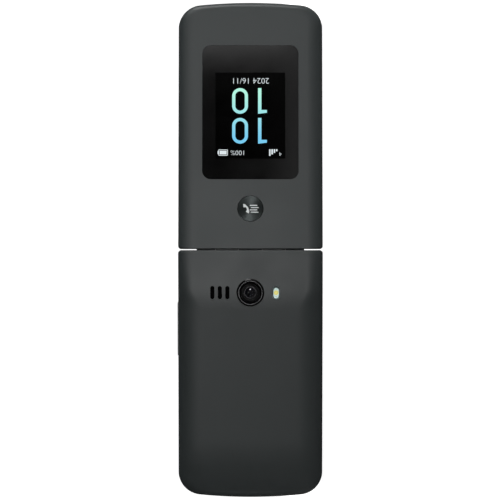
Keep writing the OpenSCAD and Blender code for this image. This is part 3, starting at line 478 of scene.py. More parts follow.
def near_end(depth):
    """Where the end face beside the hinge lies at a depth."""
    return END_AIR / math.cos(LEAN) - math.tan(LEAN) * (depth + HALF_GAP)


def outline_side(near, stations, widths, far_u, far_r):
    """One side of the outline: near corner (radius, u), side stations, far corner, end arc."""
    near_r, near_u = near
    w, end_r = widths[-1], END_R - (HALF_L - far_u)
    end_c, cz = far_u - end_r, w - far_r
    cu = end_c + math.sqrt((end_r - far_r) ** 2 - cz * cz)
    meet = math.degrees(math.atan2(cz, cu - end_c))
    ends = [math.radians(meet * (1 - i / (END_STEPS + 0.5))) for i in range(1, END_STEPS + 1)]
    return (arc((near_u + near_r, widths[0] - near_r), near_r, 180, 90, NEAR_STEPS)
            + list(zip(stations, widths))
            + arc((cu, cz), far_r, 90, meet, CORNER_STEPS)
            + [(end_c + end_r * math.cos(a), end_r * math.sin(a)) for a in ends])


def both_sides(side):
    return side + [(u, -z) for u, z in reversed(side)]


# %% Depth of the back and width of its roll
PLATFORM_D = 8.15
PLATFORM_SLOPE = math.radians(7.5)
BLEND_R = 70.0
CHIN_L = 23.5
CHIN_U = HALF_L - CHIN_L
CHIN_R = 100.0
BLEND_END = (BASE_T - PLATFORM_D) / math.tan(PLATFORM_SLOPE) + BLEND_R * math.tan(PLATFORM_SLOPE / 2)
BLEND_START = BLEND_END - BLEND_R * math.sin(PLATFORM_SLOPE)
print("platform blends into the battery area from", round(BLEND_START, 1), "to", round(BLEND_END, 1))


def back_depth(u):
    """Camera platform, blend, battery area and chin, from the hinge to the far end."""
    if u > CHIN_U:
        return BASE_T - CHIN_R + math.sqrt(CHIN_R ** 2 - (u - CHIN_U) ** 2)
    if u > BLEND_END:
        return BASE_T
    if u > BLEND_START:
        return BASE_T - BLEND_R + math.sqrt(BLEND_R ** 2 - (BLEND_END - u) ** 2)
    return PLATFORM_D + math.tan(PLATFORM_SLOPE) * u


def side_roll(u):
    t = min(1.0, max(0.0, (u - BLEND_START) / (BLEND_END - BLEND_START)))
    return ROLL_W + (BROAD_ROLL_W - ROLL_W) * t * t * (3 - 2 * t)


# %% Shell builder
ROLL_STEPS = 20


def rolled(lower, top, seam, side_d, tops, slant):
    """Rings that go straight up from the seam and then roll over onto the top outline."""
    points, n = [], len(lower)
    for k in range(-1, ROLL_STEPS + 1):
        turn = math.pi / 2 * max(k, 0) / ROLL_STEPS
        for i in range(n):
            depth = seam if k < 0 else side_d + (tops[i] - side_d) * math.sin(turn)
            u, z = (a + (b - a) * (1 - math.cos(turn)) for a, b in zip(lower[i], top[i]))
            near = i <= NEAR_STEPS or i >= n - 1 - NEAR_STEPS
            points.append(spot(u + (near_end(depth) if slant and near else 0), z, depth))
    return points


def rolled_faces(n, first, flip):
    faces = []
    for k in range(ROLL_STEPS + 1):
        a, b = first + k * n, first + (k + 1) * n
        faces += [(a + i, a + (i + 1) % n, b + (i + 1) % n, b + i) for i in range(n)]
    last = first + (ROLL_STEPS + 1) * n
    faces += [(last + i, last + n - 1 - i, last + n - 2 - i, last + i + 1)
              for i in range(n // 2 - 1)]
    return [tuple(reversed(f)) for f in faces] if flip else faces


def moulded_shell(name, stations, rolls, far_r, depth_at, seam, side_d, wall, skin, inner_u, half):
    """A cover with an outer and an inner surface, open at the seam."""
    surfaces = []
    for inset, start, near_r, thinner in ((0, 0.0, NEAR_R, 0), (wall, inner_u, 1.0, skin)):
        lower = both_sides(outline_side((near_r, start), stations,
                                        [HALF_W - inset] * len(stations),
                                        HALF_L - inset, CORNER_R - inset))
        widths = [HALF_W - roll - inset / 2 for roll in rolls]
        top = both_sides(outline_side((near_r / 2, start + NEAR_ROLL), stations, widths,
                                      HALF_L - END_ROLL_W - inset / 2, far_r))
        tops = [depth_at(u) - thinner for u, _ in top]
        surfaces.append(rolled(lower, top, seam, side_d, tops, inset == 0))
    n = len(surfaces[0]) // (ROLL_STEPS + 2)
    inside = len(surfaces[0])
    faces = rolled_faces(n, 0, False) + rolled_faces(n, inside, True)
    faces += [(i, inside + i, inside + (i + 1) % n, (i + 1) % n) for i in range(n)]
    return new_piece(name, surfaces[0] + surfaces[1], faces, half)


# %% [markdown]
# The lid cover is cut with the shapes of what sits in it: the window seat, the hole of the round
# key and the scoops that clear the hinge knuckles. A boolean cut on a fine mesh keeps the smooth
# surface around the holes, and the edges stay crisp, as a cutter leaves them in a real mould.

# %% Sizes read from the pieces that the covers hold
def half_box(node, half):
    """Extent of a node in its half's own millimetres: (u, depth, z) lowest and highest."""
    to_half = half.inverted()
    spots = [to_half @ v.co for v in NODES[node].data.vertices]
    us, zs = [p.x for p in spots], [p.z for p in spots]
    ds = [-HALF_GAP - p.y for p in spots]
    return (min(us), min(ds), min(zs)), (max(us), max(ds), max(zs))


def middle(node, half):
    low, high = half_box(node, half)
    return tuple((a + b) / 2 for a, b in zip(low, high))


SEAT_AIR = 0.05
WALL_T = 1.6
BLOCK_U = 7.0
window_low, window_high = half_box("outer_window", LID)
WINDOW_L, WINDOW_W = window_high[0] - window_low[0], window_high[2] - window_low[2]
WINDOW_MID = ((window_low[0] + window_high[0]) / 2, 0.0)
WINDOW_R = 3.4
KEY_AIR = 0.2
key_u = middle("outer_key", LID)[0]
OUTER_KEY_R = 5.05
BARREL_R = 4.8
SCOOP_AIR = 0.3
SCOOP_R = BARREL_R + SCOOP_AIR
print("outer window, mm:", round(WINDOW_L, 1), "x", round(WINDOW_W, 1), "key at", round(key_u, 1))


def hinge_cutter(name, radius, z0, z1, half):
    """A cylinder along the hinge axis."""
    ring = circle((0.0, 0.0), radius, 72)
    points = [Vector((x, y, z)) for z in (z0, z1) for x, y in ring]
    return new_piece(name, points, pushed_faces(len(ring)), half)


# %% Lid cover
LID_COVER_T = 1.5
LID_ROLL_H = 2.4
LID_FAR_R = CORNER_R * 0.6
EAR_OUT = 21.55
LID_OUT = 13.9
LID_IN = 4.9
KNUCKLE_AIR = 0.2
LEDGE_T = 0.7

lid_stations = [HALF_L * k / 24 for k in range(3, 21)]
lid_shell = moulded_shell("lid_shell", lid_stations, [ROLL_W] * len(lid_stations), LID_FAR_R,
                          lambda u: LID_T, LID_SEAM, LID_T - LID_ROLL_H, WALL_T, LID_COVER_T,
                          BLOCK_U, LID)
carve(lid_shell, [
    prism("window_seat", rounded(WINDOW_MID, WINDOW_L + 2 * SEAT_AIR, WINDOW_W + 2 * SEAT_AIR,
                                 WINDOW_R + SEAT_AIR, 16), window_low[1], LID_T + 1, LID),
    prism("key_hole", circle((key_u, 0), OUTER_KEY_R + KEY_AIR, 96), LID_SEAM, LID_T + 1, LID),
    hinge_cutter("middle_scoop", SCOOP_R, -LID_IN, LID_IN, LID),
    hinge_cutter("ear_scoop_low", SCOOP_R, -EAR_OUT - KNUCKLE_AIR, -LID_OUT, LID),
    hinge_cutter("ear_scoop_high", SCOOP_R, LID_OUT, EAR_OUT + KNUCKLE_AIR, LID),
    hinge_cutter("knuckle_scoop_low", BARREL_R + SEAT_AIR, -LID_OUT, -LID_IN, LID),
    hinge_cutter("knuckle_scoop_high", BARREL_R + SEAT_AIR, LID_IN, LID_OUT, LID),
])
settle(lid_shell, "lid", COVER_PLASTIC, "cover_plastic", "lid_cover")
print("lid cover:", len(lid_shell.data.polygons), "faces")

# %% [markdown]
# Behind the window seat the real cover has a thin ledge that the glass is glued to. We add it as a
# piece of its own, because it is what shows if the glass is ever lifted.

# %% Window ledge
display_low, display_high = half_box("outer_display", LID)
DISPLAY_BORDER = 2.5
VIEW_MARGIN = 1.0


def frame_prism(name, outer, inner, top, bottom, half):
    """A flat frame between two outlines that have as many points."""
    n = len(outer)
    points = [spot(u, z, d) for d in (top, bottom) for line in (outer, inner) for u, z in line]
    faces = []
    for i in range(n):
        j = (i + 1) % n
        faces += [(i, j, n + j, n + i), (2 * n + i, 3 * n + i, 3 * n + j, 2 * n + j),
                  (i, 2 * n + i, 2 * n + j, j), (n + i, n + j, 3 * n + j, 3 * n + i)]
    return new_piece(name, points, faces, half)


view_l = display_high[0] - display_low[0] - 3 * DISPLAY_BORDER + 2 * VIEW_MARGIN
view_w = display_high[2] - display_low[2] - 2 * DISPLAY_BORDER + 2 * VIEW_MARGIN
view_u = display_low[0] + DISPLAY_BORDER + (view_l - 2 * VIEW_MARGIN) / 2
window_ledge = frame_prism("window_ledge",
                           rounded(WINDOW_MID, WINDOW_L + 2, WINDOW_W + 2, WINDOW_R, 8),
                           rounded((view_u, 0), view_l, view_w, 0.5, 8),
                           window_low[1] - LEDGE_T, window_low[1], LID)
settle(window_ledge, "lid", CASE_PLASTIC, "cover_plastic")

# %% [markdown]
# ## Back cover
# The back cover's depth follows a profile: a camera platform that rises from the hinge, a soft
# blend, the flat battery area, and a chin that curves down to the far end. Camera ring, flash and
# loudspeaker slots sit in the platform, on a plane tilted by half its slope.

# %% Back cover
COVER_T = 1.1
ROLL_START = 0.3
CAMERA_TILT = PLATFORM_SLOPE / 2
CAMERA_U = 16.0
CAMERA_RING_R = 5.5
FLASH_Z = 10.3
FLASH_L, FLASH_W = 5.4, 3.0
SPEAKER_Z = 12.2
SLOT_PITCH, SLOT_W, SLOT_L = 3.0, 1.64, 5.3


def platform_place(z):
    """Matrix that stands things on the camera plane, their own z pointing out of the phone."""
    return (Matrix.Translation(spot(CAMERA_U, z, back_depth(CAMERA_U)))
            @ Matrix.Rotation(-CAMERA_TILT, 4, "Z") @ Matrix.Rotation(math.pi / 2, 4, "X"))


def platform_prism(name, outline, low, high, z):
    """An outline on the camera plane, pushed from one height to another."""
    place = platform_place(z)
    points = [place @ Vector((a, b, h)) for h in (low, high) for a, b in outline]
    return new_piece(name, points, pushed_faces(len(outline)), BASE)


blend_stations = [BLEND_START + (BLEND_END - BLEND_START) * k / 12 for k in range(13)]
base_stations = ([8.0, 10.0, 12.0] + blend_stations
                 + [30 + 6 * k for k in range(8)] + [CHIN_U + 1.5 * k for k in range(8)])
back_shell = moulded_shell("back_shell", base_stations, [side_roll(u) for u in base_stations],
                           CORNER_R / 2, back_depth, BASE_SEAM, BASE_SEAM + ROLL_START, WALL_T,
                           COVER_T, BLOCK_U, BASE)
carve(back_shell,
      [platform_prism("camera_hole", circle((0, 0), CAMERA_RING_R + SEAT_AIR, 96), -6, 4, 0),
       platform_prism("flash_hole", rounded((0, 0), FLASH_L + 2 * SEAT_AIR,
                                            FLASH_W + 2 * SEAT_AIR, FLASH_W / 2, 12),
                      -3, 3, -FLASH_Z)]
      + [platform_prism("slot_%d" % k, rounded((0, 0), SLOT_L, SLOT_W, SLOT_W / 2 - 0.01, 10),
                        -3, 3, SPEAKER_Z + k * SLOT_PITCH) for k in (-1, 0, 1)])
settle(back_shell, "cover", COVER_PLASTIC, "cover_plastic", "back_cover")
print("back cover:", len(back_shell.data.polygons), "faces")

# %% [markdown]
# ## Finishes of the carried-over pieces
# Every other rigid piece already has its right shape. A narrow bevel breaks the edges that a hand
# would feel, and each piece gets the finish of its real material.

# %% Dress the solid pieces
BEVEL_SEGMENTS = 2
BEVEL_ANGLE = math.radians(40)


def dress(node, finish, bevel_mm):
    piece = NODES[node]
    piece.data.materials.clear()
    piece.data.materials.append(finish)
    if bevel_mm:
        soften = piece.modifiers.new("edge", "BEVEL")
        soften.width = bevel_mm * MM
        soften.segments = BEVEL_SEGMENTS
        soften.limit_method = "ANGLE"
        soften.angle_limit = BEVEL_ANGLE
        soften.harden_normals = True
    shade_smooth(piece)


lid_axis = LID.to_3x3() @ Vector((0, 1, 0))
lid_axis.normalize()
key_centre = LID @ spot(key_u, 0, LID_T)
nav_u = middle("nav_ring", BASE)[0]
nav_centre = BASE @ spot(nav_u, 0, 0)
KEY_METAL = turned_metal("turned_dark_key", (0.03, 0.034, 0.034), 0.3, key_centre, lid_axis)
NAV_METAL = turned_metal("turned_ring_key", (0.2, 0.2, 0.205), 0.32, nav_centre, (0, 1, 0))

FINISHES = {
    "keypad_case": (CASE_PLASTIC, 0), "lid_bezel": (BEZEL_PLASTIC, 0),
    "outer_window": (WINDOW_GLASS, 0), "inner_window": (WINDOW_GLASS, 0),
    "outer_display": (GLOSS_BLACK, 0), "main_display": (GLOSS_BLACK, 0),
    "outer_key": (KEY_METAL, 0), "nav_ring": (NAV_METAL, 0), "ok_key": (NAV_METAL, 0),
    "nav_pad": (SILICONE, 0), "keypad_mat": (SILICONE, 0), "volume_rocker": (CASE_PLASTIC, 0.25),
    "main_board": (BOARD_GREEN, 0), "lid_board": (BOARD_GREEN, 0), "shield_cans": (STEEL, 0.15),
    "sim_holder": (STEEL, 0.1), "usb_socket": (STEEL, 0), "vibration_motor": (STEEL, 0.2),
    "frame_screws": (STEEL, 0), "lid_screws": (STEEL, 0), "lid_magnet": (STEEL, 0.1),
    "hinge_cartridge": (STEEL, 0), "hinge_cam_shaft": (STEEL, 0), "hinge_pivot": (STEEL, 0),
    "hinge_caps": (CASE_PLASTIC, 0), "hinge_flex": (AMBER_FILM, 0), "mid_frame": (DARK_CAST, 0),
    "battery": (BATTERY_WRAP, 0.3), "camera_module": (GLOSS_BLACK, 0),
    "camera_ring": (RING_BLACK, 0), "camera_glass": (CAMERA_GLASS, 0),
    "flash_lens": (FLASH_GLASS, 0), "flash_led": (SILICONE, 0), "loudspeaker": (GAUZE, 0),
    "earpiece": (STEEL, 0), "earpiece_mesh": (GAUZE, 0), "microphone": (STEEL, 0),
    "headset_jack": (GLOSS_BLACK, 0), "lid_bumpers": (RUBBER, 0.15),
}
KEY_NODES = [n for n in NODES if n.startswith(("key_", "soft_key", "shortcut_key"))]
KEY_NODES += ["call_key", "clear_key", "end_key"]
FINISHES.update({n: (KEY_PLASTIC, 0.2) for n in KEY_NODES})
for node, (finish, bevel) in FINISHES.items():
    dress(node, finish, bevel)
undressed = sorted(set(NODES) - set(FINISHES) - {"lid_cover", "back_cover"})
print("dressed", len(FINISHES), "nodes; left:", undressed)

# %% [markdown]
# ## The picture on the outer display
# The lit display stands upside down in this view, because the lid is opened. It shows plain
# numbers: a date, a tall two-row clock, a battery sign with a percentage and four signal bars.
# Each is a thin inlay on the glass. Rings and bars are drawn from arcs, small print from the
# plain built-in letter shapes.

# %% Inlay helpers
INLAY = 0.012


def inlay(name, outline, depth, half, body, finish, slot, hole=None):
    """A thin print on the face at a depth: outwards on the back, inwards on the front."""
    side = 1 if depth > 1 else -1
    top, bottom = depth, depth + side * INLAY
    if hole is None:
        piece = prism(name, outline, top, bottom, half)
    else:
        piece = frame_prism(name, outline, hole, top, bottom, half)
    return settle(piece, body, finish, slot)


LETTER_SIZE = 1.42
LETTER_THIN = 0.012


def small_print(name, text, height, u, z, depth, half, body, finish, slot):
    """Plain built-in letters with their middle at u and z, upright towards the hinge."""
    facing = 1 if depth > 1 else -1
    curve = bpy.data.curves.new(name, "FONT")
    curve.body = text
    curve.align_x = "CENTER"
    curve.align_y = "CENTER"
    curve.size = height * LETTER_SIZE
    curve.offset = -LETTER_THIN * curve.size
    curve.extrude = INLAY / 2
    curve.resolution_u = 4
    holder = bpy.data.objects.new(name + "_text", curve)
    bpy.context.scene.collection.objects.link(holder)
    bpy.context.view_layer.update()
    shown = holder.evaluated_get(bpy.context.evaluated_depsgraph_get())
    mesh = bpy.data.meshes.new_from_object(shown)
    bpy.data.objects.remove(holder)
    upright, out = Vector((-1, 0, 0)), Vector((0, -facing, 0))
    across = upright.cross(out)
    if half.determinant() < 0:
        across.negate()
    turn = Matrix((across, upright, out)).transposed().to_4x4()
    centre = spot(u, z, depth + facing * INLAY / 2)
    mesh.transform(half @ Matrix.Translation(centre) @ turn)
    mesh.name = name
    return settle(put_in_scene(name, mesh), body, finish, slot)


# %% The lit area
active_u0 = display_low[0] + DISPLAY_BORDER
ACTIVE_L = view_l - 2 * VIEW_MARGIN
ACTIVE_W = view_w - 2 * VIEW_MARGIN
GLASS_TOP = window_high[1]
GLASS_PRINT = GLASS_TOP + INLAY
active_mid = (active_u0 + ACTIVE_L / 2, 0)
inlay("lit_area", rounded(active_mid, ACTIVE_L, ACTIVE_W, 0.2, 3), GLASS_TOP, LID, "lid",
      DEEP_BLACK, "display")
print("lit area, mm:", round(ACTIVE_L, 1), "x", round(ACTIVE_W, 1), "from u", round(active_u0, 1))


def on_display(name, outline, hole=None, finish=PALE_GLOW):
    return inlay(name, outline, GLASS_PRINT, LID, "lid", finish, "display", hole)


# %% [markdown]
# The clock has two rows that read ten and ten. Each nought is a tall ring, each one a stem with a
# foot that slants a little. Their colour fades from mint at the far row to sky blue at the near.

# %% Clock digits
DIGIT_STROKE = 1.28
DIGIT_L = 10.45
NOUGHT_W = 6.35
NOUGHT_R = NOUGHT_W / 2 - 0.01
NOUGHT_Z = 4.15
STEM_W = 1.35
STEM_Z = -3.75
FLAG_REACH = 2.2
FLAG_THICK, FLAG_SLANT = 1.15, 0.4
ROW_U = {"hours": 59.2, "minutes": 47.05}
for row, u in ROW_U.items():
    ring = rounded((u, NOUGHT_Z), DIGIT_L, NOUGHT_W, NOUGHT_R, 14)
    inner = rounded((u, NOUGHT_Z), DIGIT_L - 2 * DIGIT_STROKE, NOUGHT_W - 2 * DIGIT_STROKE,
                    NOUGHT_R - DIGIT_STROKE, 14)
    on_display(row + "_nought", ring, inner, CLOCK_GLOW)
    foot, head = u - DIGIT_L / 2, u + DIGIT_L / 2
    left, right_z = STEM_Z + STEM_W / 2, STEM_Z - STEM_W / 2
    stem = [(head, left), (head, right_z), (foot + FLAG_THICK + FLAG_SLANT, right_z),
            (foot + FLAG_THICK + FLAG_SLANT, right_z - FLAG_REACH),
            (foot + FLAG_SLANT, right_z - FLAG_REACH), (foot, left - 0.3), (foot, left)]
    on_display(row + "_one", stem, None, CLOCK_GLOW)

# %% Date, battery sign and signal bars
DATE_U = 67.5
STATUS_U = 38.2
small_print("date", "2024 16/11", 2.35, DATE_U, 0.0, GLASS_PRINT, LID, "lid", PALE_GLOW,
            "display")
small_print("charge", "100%", 1.95, STATUS_U, 5.0, GLASS_PRINT, LID, "lid", PALE_GLOW,
            "display")
BATTERY_Z = 10.95
SIGN_L, SIGN_W, SIGN_LINE = 2.5, 3.8, 0.25
NUB_L, NUB_W = 1.2, 0.3
sign_mid = (STATUS_U, BATTERY_Z)
on_display("charge_shell", rounded(sign_mid, SIGN_L, SIGN_W, 0.35, 4),
           rounded(sign_mid, SIGN_L - 2 * SIGN_LINE, SIGN_W - 2 * SIGN_LINE, 0.15, 4))
on_display("charge_fill", rounded(sign_mid, SIGN_L - 4 * SIGN_LINE, SIGN_W - 4 * SIGN_LINE, 0.1, 3))
nub_mid = (STATUS_U, BATTERY_Z + SIGN_W / 2 + NUB_W / 2)
on_display("charge_nub", rounded(nub_mid, NUB_L, NUB_W, 0.1, 3))
small_print("network", "4", 1.6, STATUS_U - 0.55, -12.0, GLASS_PRINT, LID, "lid", PALE_GLOW,
            "display")
BAR_PITCH, BAR_W, BAR_TALL = 0.92, 0.6, 2.7
BAR_Z, BAR_FALL = -7.8, 0.23
for k in range(4):
    tall = BAR_TALL * (1 - BAR_FALL * k)
    on_display("signal_bar_%d" % (k + 1),
               rounded((STATUS_U + BAR_TALL / 2 - tall / 2, BAR_Z - k * BAR_PITCH), tall, BAR_W,
                       0.08, 3))

# %% [markdown]
# ## Round key on the lid
# A handset beside four list lines is printed on the turned metal. The dark ring round the key is
# the gap that it moves in.

# %% Key icon
KEY_TOP = depth_of("outer_key", LID, max)
BOW_DEG = 62
BOW_R = 0.82
BOW_THIN, BOW_EAR = 0.17, 0.13
BOW_SHIFT = 0.62


def handset(middle_at, size, turn_deg, steps=14):
    """Outline of a handset: a bow with two thick ends."""
    spots = []
    for side in (1, -1):
        for i in range(steps + 1):
            t = -1 + 2 * (i if side > 0 else steps - i) / steps
            a = math.radians(BOW_DEG * t)
            thick = BOW_THIN + BOW_EAR * min(1.0, max(0.0, (abs(t) - 0.45) / 0.25))
            reach = BOW_R + side * thick
            spots.append((reach * math.cos(a) - BOW_SHIFT, reach * math.sin(a)))
    c, s_ = math.cos(math.radians(turn_deg)), math.sin(math.radians(turn_deg))
    return [(middle_at[0] + size * (a * c - b * s_), middle_at[1] + size * (a * s_ + b * c))
            for a, b in spots]


ICON_GREY = moulded_plastic("icon_print", (0.82, 0.86, 0.86), 0.4, 0.3, 0.5)
ICON_SHIFT, ICON_Z = 0.03, 1.63
ICON_SIZE, ICON_TURN = 2.22, -61
inlay("key_handset", handset((key_u + ICON_SHIFT, ICON_Z), ICON_SIZE, ICON_TURN), KEY_TOP, LID,
      "outer_key", ICON_GREY, "key_metal")
LINE_W = 0.4
LINE_U = (1.28, 0.38, -0.55, -1.48)
LINE_Z = ((0.24, -2.75), (-0.2, -3.35), (0.24, -2.75), (-0.16, -3.27))
for k in range(4):
    z0, z1 = LINE_Z[k]
    line = rounded((key_u + LINE_U[k], (z0 + z1) / 2), LINE_W, z0 - z1, 0.15, 3)
    inlay("key_line_%d" % (k + 1), line, KEY_TOP, LID, "outer_key", ICON_GREY, "key_metal")

# %% [markdown]
# ## Keypad and inner display
# The number keys carry plain figures, the star and the hash. The call key has a green handset and
# the end key a red one, the soft keys a short dash. The inner display is dark behind its glass.

# %% Key legends
FIGURES = {"key_star": "*", "key_hash": "#", "clear_key": "C"}
FIGURES.update({"key_%d" % k: str(k) for k in range(10)})
FIGURE_H = {"key_star": 4.6, "clear_key": 2.2}
PLAIN_FIGURE_H = 3.1
STAR_DROP = 1.0
for node, figure in FIGURES.items():
    u, _, z = middle(node, BASE)
    drop = STAR_DROP if node == "key_star" else 0.0
    tall = FIGURE_H.get(node, PLAIN_FIGURE_H)
    small_print(node + "_figure", figure, tall, u + drop, z, depth_of(node, BASE, min), BASE,
                node, LEGEND_WHITE, "keycap")
HANDSET_SIZE = 1.9
for node, finish, turn_deg in (("call_key", LEGEND_GREEN, 35), ("end_key", LEGEND_RED, 0)):
    u, _, z = middle(node, BASE)
    inlay(node + "_handset", handset((u, z), HANDSET_SIZE, turn_deg), depth_of(node, BASE, min),
          BASE, node, finish, "keycap")
DASH_L, DASH_W = 3.4, 0.5
for node in ("soft_key_left", "soft_key_right"):
    u, _, z = middle(node, BASE)
    inlay(node + "_dash", rounded((u, z), DASH_W, DASH_L, 0.2, 4), depth_of(node, BASE, min),
          BASE, node, LEGEND_WHITE, "keycap")
MARK_R, MARK_BORE_R = 0.9, 0.6
for node in ("shortcut_key_left", "shortcut_key_right"):
    u, _, z = middle(node, BASE)
    inlay(node + "_ring", circle((u, z), MARK_R, 32), depth_of(node, BASE, min), BASE, node,
          LEGEND_WHITE, "keycap", circle((u, z), MARK_BORE_R, 32))
NAV_DOT_R, NAV_DOT_AT = 0.35, 9.6
nav_top = depth_of("nav_ring", BASE, min)
for k in range(4):
    a = math.radians(90 * k)
    dot = circle((nav_u + NAV_DOT_AT * math.cos(a), NAV_DOT_AT * math.sin(a)), NAV_DOT_R, 20)
    inlay("nav_dot_%d" % (k + 1), dot, nav_top, BASE, "nav_ring", LEGEND_WHITE, "keycap")

# %% Inner display
main_low, main_high = half_box("main_display", LID)
MAIN_BORDER = 1.6
main_mid = ((main_low[0] + main_high[0]) / 2, (main_low[2] + main_high[2]) / 2)
main_area = rounded(main_mid, main_high[0] - main_low[0] - 2 * MAIN_BORDER,
                    main_high[2] - main_low[2] - 2 * MAIN_BORDER, 0.3, 4)
inlay("main_lit_area", main_area, depth_of("inner_window", LID, min), LID, "lid", DEEP_BLACK,
      "display")

# %% [markdown]
# ## Camera, flash and loudspeaker slots
# Behind the camera glass sits a stepped black barrel with a coated front lens. The ring has a thin
# grey inner edge. Behind the flash lens lies a white cup with a yellow chip, and behind the slots
# a fine black felt. Cup and chip glow faintly though the flash is not lit, as painted light, and
# the black frame on the cup's hinge side shows as a painted shadow crescent.

# %% Camera
GLASS_R = CAMERA_RING_R - 1.1
INSIDE_REACH = 6.5
BARREL_R_OUT, BARREL_LOW, BARREL_TOP = 3.4, -4.5, -0.8
FIRST_STEP, SECOND_STEP, BARREL_FLOOR = -1.05, -1.3, -1.75
camera_at = platform_place(0)
barrel = lathe("lens_barrel", [
    (0, BARREL_LOW), (BARREL_R_OUT, BARREL_LOW), (BARREL_R_OUT, BARREL_TOP), (3.1, BARREL_TOP),
    (2.95, FIRST_STEP), (2.7, FIRST_STEP), (2.6, SECOND_STEP), (2.42, SECOND_STEP),
    (2.36, BARREL_FLOOR), (0, BARREL_FLOOR)], camera_at, BASE)
settle(barrel, "base", LENS_BLACK, "lens_ring", "camera_module")
LENS_R, LENS_SEAT = 2.3, -1.7
LENS_RIM_T = 0.04
EYE_R, EYE_CURVE, EYE_SEAT = 1.9, 9.0, LENS_SEAT + 0.06


def eye_height(r):
    return EYE_SEAT + math.sqrt(EYE_CURVE ** 2 - r * r) - math.sqrt(EYE_CURVE ** 2 - EYE_R ** 2)


eye = [(EYE_R * k / 12, eye_height(EYE_R * k / 12)) for k in range(12, -1, -1)]
lens_low = LENS_SEAT - LENS_RIM_T
front_lens = lathe("front_lens", [(0, lens_low), (LENS_R, lens_low), (LENS_R, LENS_SEAT)] + eye,
                   camera_at, BASE)
settle(front_lens, "base", LENS_COAT, "lens_glass")
STOP_IN, STOP_OUT, STOP_LOW, STOP_TOP = 2.22, 2.34, -1.4, -1.36
stop_ring = lathe("aperture_ring", [
    (STOP_IN, STOP_LOW), (STOP_OUT, STOP_LOW), (STOP_OUT, STOP_TOP), (STOP_IN, STOP_TOP),
    (STOP_IN, STOP_LOW)], camera_at, BASE)
settle(stop_ring, "base", RING_EDGE, "lens_ring")
SENSOR_W, SENSOR_T = 8.4, 2.2


def on_platform(name, rings, z, capped=True):
    """A loft of outlines at heights above the camera plane."""
    place = platform_place(z)
    n = len(rings[0][0])
    points = [place @ Vector((a, b, h)) for outline, h in rings for a, b in outline]
    faces = [(k * n + i, k * n + (i + 1) % n, (k + 1) * n + (i + 1) % n, (k + 1) * n + i)
             for k in range(len(rings) - 1) for i in range(n)]
    if capped:
        last = (len(rings) - 1) * n
        faces += [tuple(reversed(range(n))), tuple(last + i for i in range(n))]
    return new_piece(name, points, faces, BASE)


square = rounded((0, 0), SENSOR_W, SENSOR_W, 0.5, 4)
sensor_rings = [(square, -INSIDE_REACH), (square, SENSOR_T - INSIDE_REACH)]
sensor = on_platform("camera_sensor", sensor_rings, 0)
settle(sensor, "base", LENS_BLACK, "lens_ring")
EDGE_OUT, EDGE_TOP = GLASS_R + 0.33, 0.305
ring_edge = lathe("camera_ring_edge", [
    (GLASS_R + 0.17, 0.24), (GLASS_R + 0.2, EDGE_TOP), (EDGE_OUT, EDGE_TOP), (EDGE_OUT, 0.2),
    (GLASS_R + 0.17, 0.24)], camera_at, BASE)
settle(ring_edge, "cover", RING_EDGE, "lens_ring")

# %% Flash and loudspeaker
def capsule(length, width, shift=0.0):
    return rounded((shift, 0), length, width, width / 2 - 0.01, 10)


# The cup sits off centre, away from the hinge, so that the black frame shows as a dark crescent on
# its hinge side: a painted shadow.
SHADE_CRESCENT_SHIFT = 0.25
FRAME_AIR = 0.1
FRAME_LOW, FRAME_TOP = -1.6, -1.13
CUP_LOW, CUP_TOP, CUP_FLOOR = -1.75, -1.16, -1.5
FELT_LOW, FELT_TOP = -1.55, -1.25
frame_out = capsule(FLASH_L - FRAME_AIR, FLASH_W - FRAME_AIR)
cup_top = capsule(FLASH_L - 1.2, FLASH_W - 0.8, SHADE_CRESCENT_SHIFT)
cup_low = capsule(FLASH_L - 1.9, FLASH_W - 1.5, SHADE_CRESCENT_SHIFT)
frame_rings = [(cup_top, FRAME_LOW), (frame_out, FRAME_LOW), (frame_out, FRAME_TOP),
               (cup_top, FRAME_TOP), (cup_top, FRAME_LOW)]
flash_frame_and_painted_shade = on_platform("flash_frame_and_painted_shade", frame_rings, -FLASH_Z, False)
settle(flash_frame_and_painted_shade, "base", LENS_BLACK, "flash_diffuser")
cup_rings = [(cup_top, CUP_LOW), (cup_top, CUP_TOP), (cup_low, CUP_FLOOR)]
cup = on_platform("flash_cup", cup_rings, -FLASH_Z)
settle(cup, "base", WHITE_CUP_PAINTED_GLOW, "flash_diffuser")
CHIP_SHIFT = 0.1
CHIP_PROFILE = ((0.95, -1.6), (0.9, -1.3), (0.65, -1.2))
chip_rings = [(circle((CHIP_SHIFT, 0), r, 24), h) for r, h in CHIP_PROFILE]
chip = on_platform("flash_chip", chip_rings, -FLASH_Z)
settle(chip, "base", PHOSPHOR_PAINTED_GLOW, "led")
felt = rounded((0, 0), 7.0, 9.4, 1.0, 5)
slot_felt = on_platform("slot_felt", [(felt, FELT_LOW), (felt, FELT_TOP)], SPEAKER_Z)
settle(slot_felt, "cover", BLACK_FELT, "mesh")

# %% [markdown]
# ## Light, floor and background
# The photograph is a catalogue picture: pure white all round, and a broad soft light from the lid
# side. The floor glows to the camera so that it comes out white, and still takes the shadow. Far
# from the phone the lamps give it less, so there the glow makes up for them.

# %% Floor, backdrop and world
NEAR_FLOOR, FAR_FLOOR = 0.25, 1.1


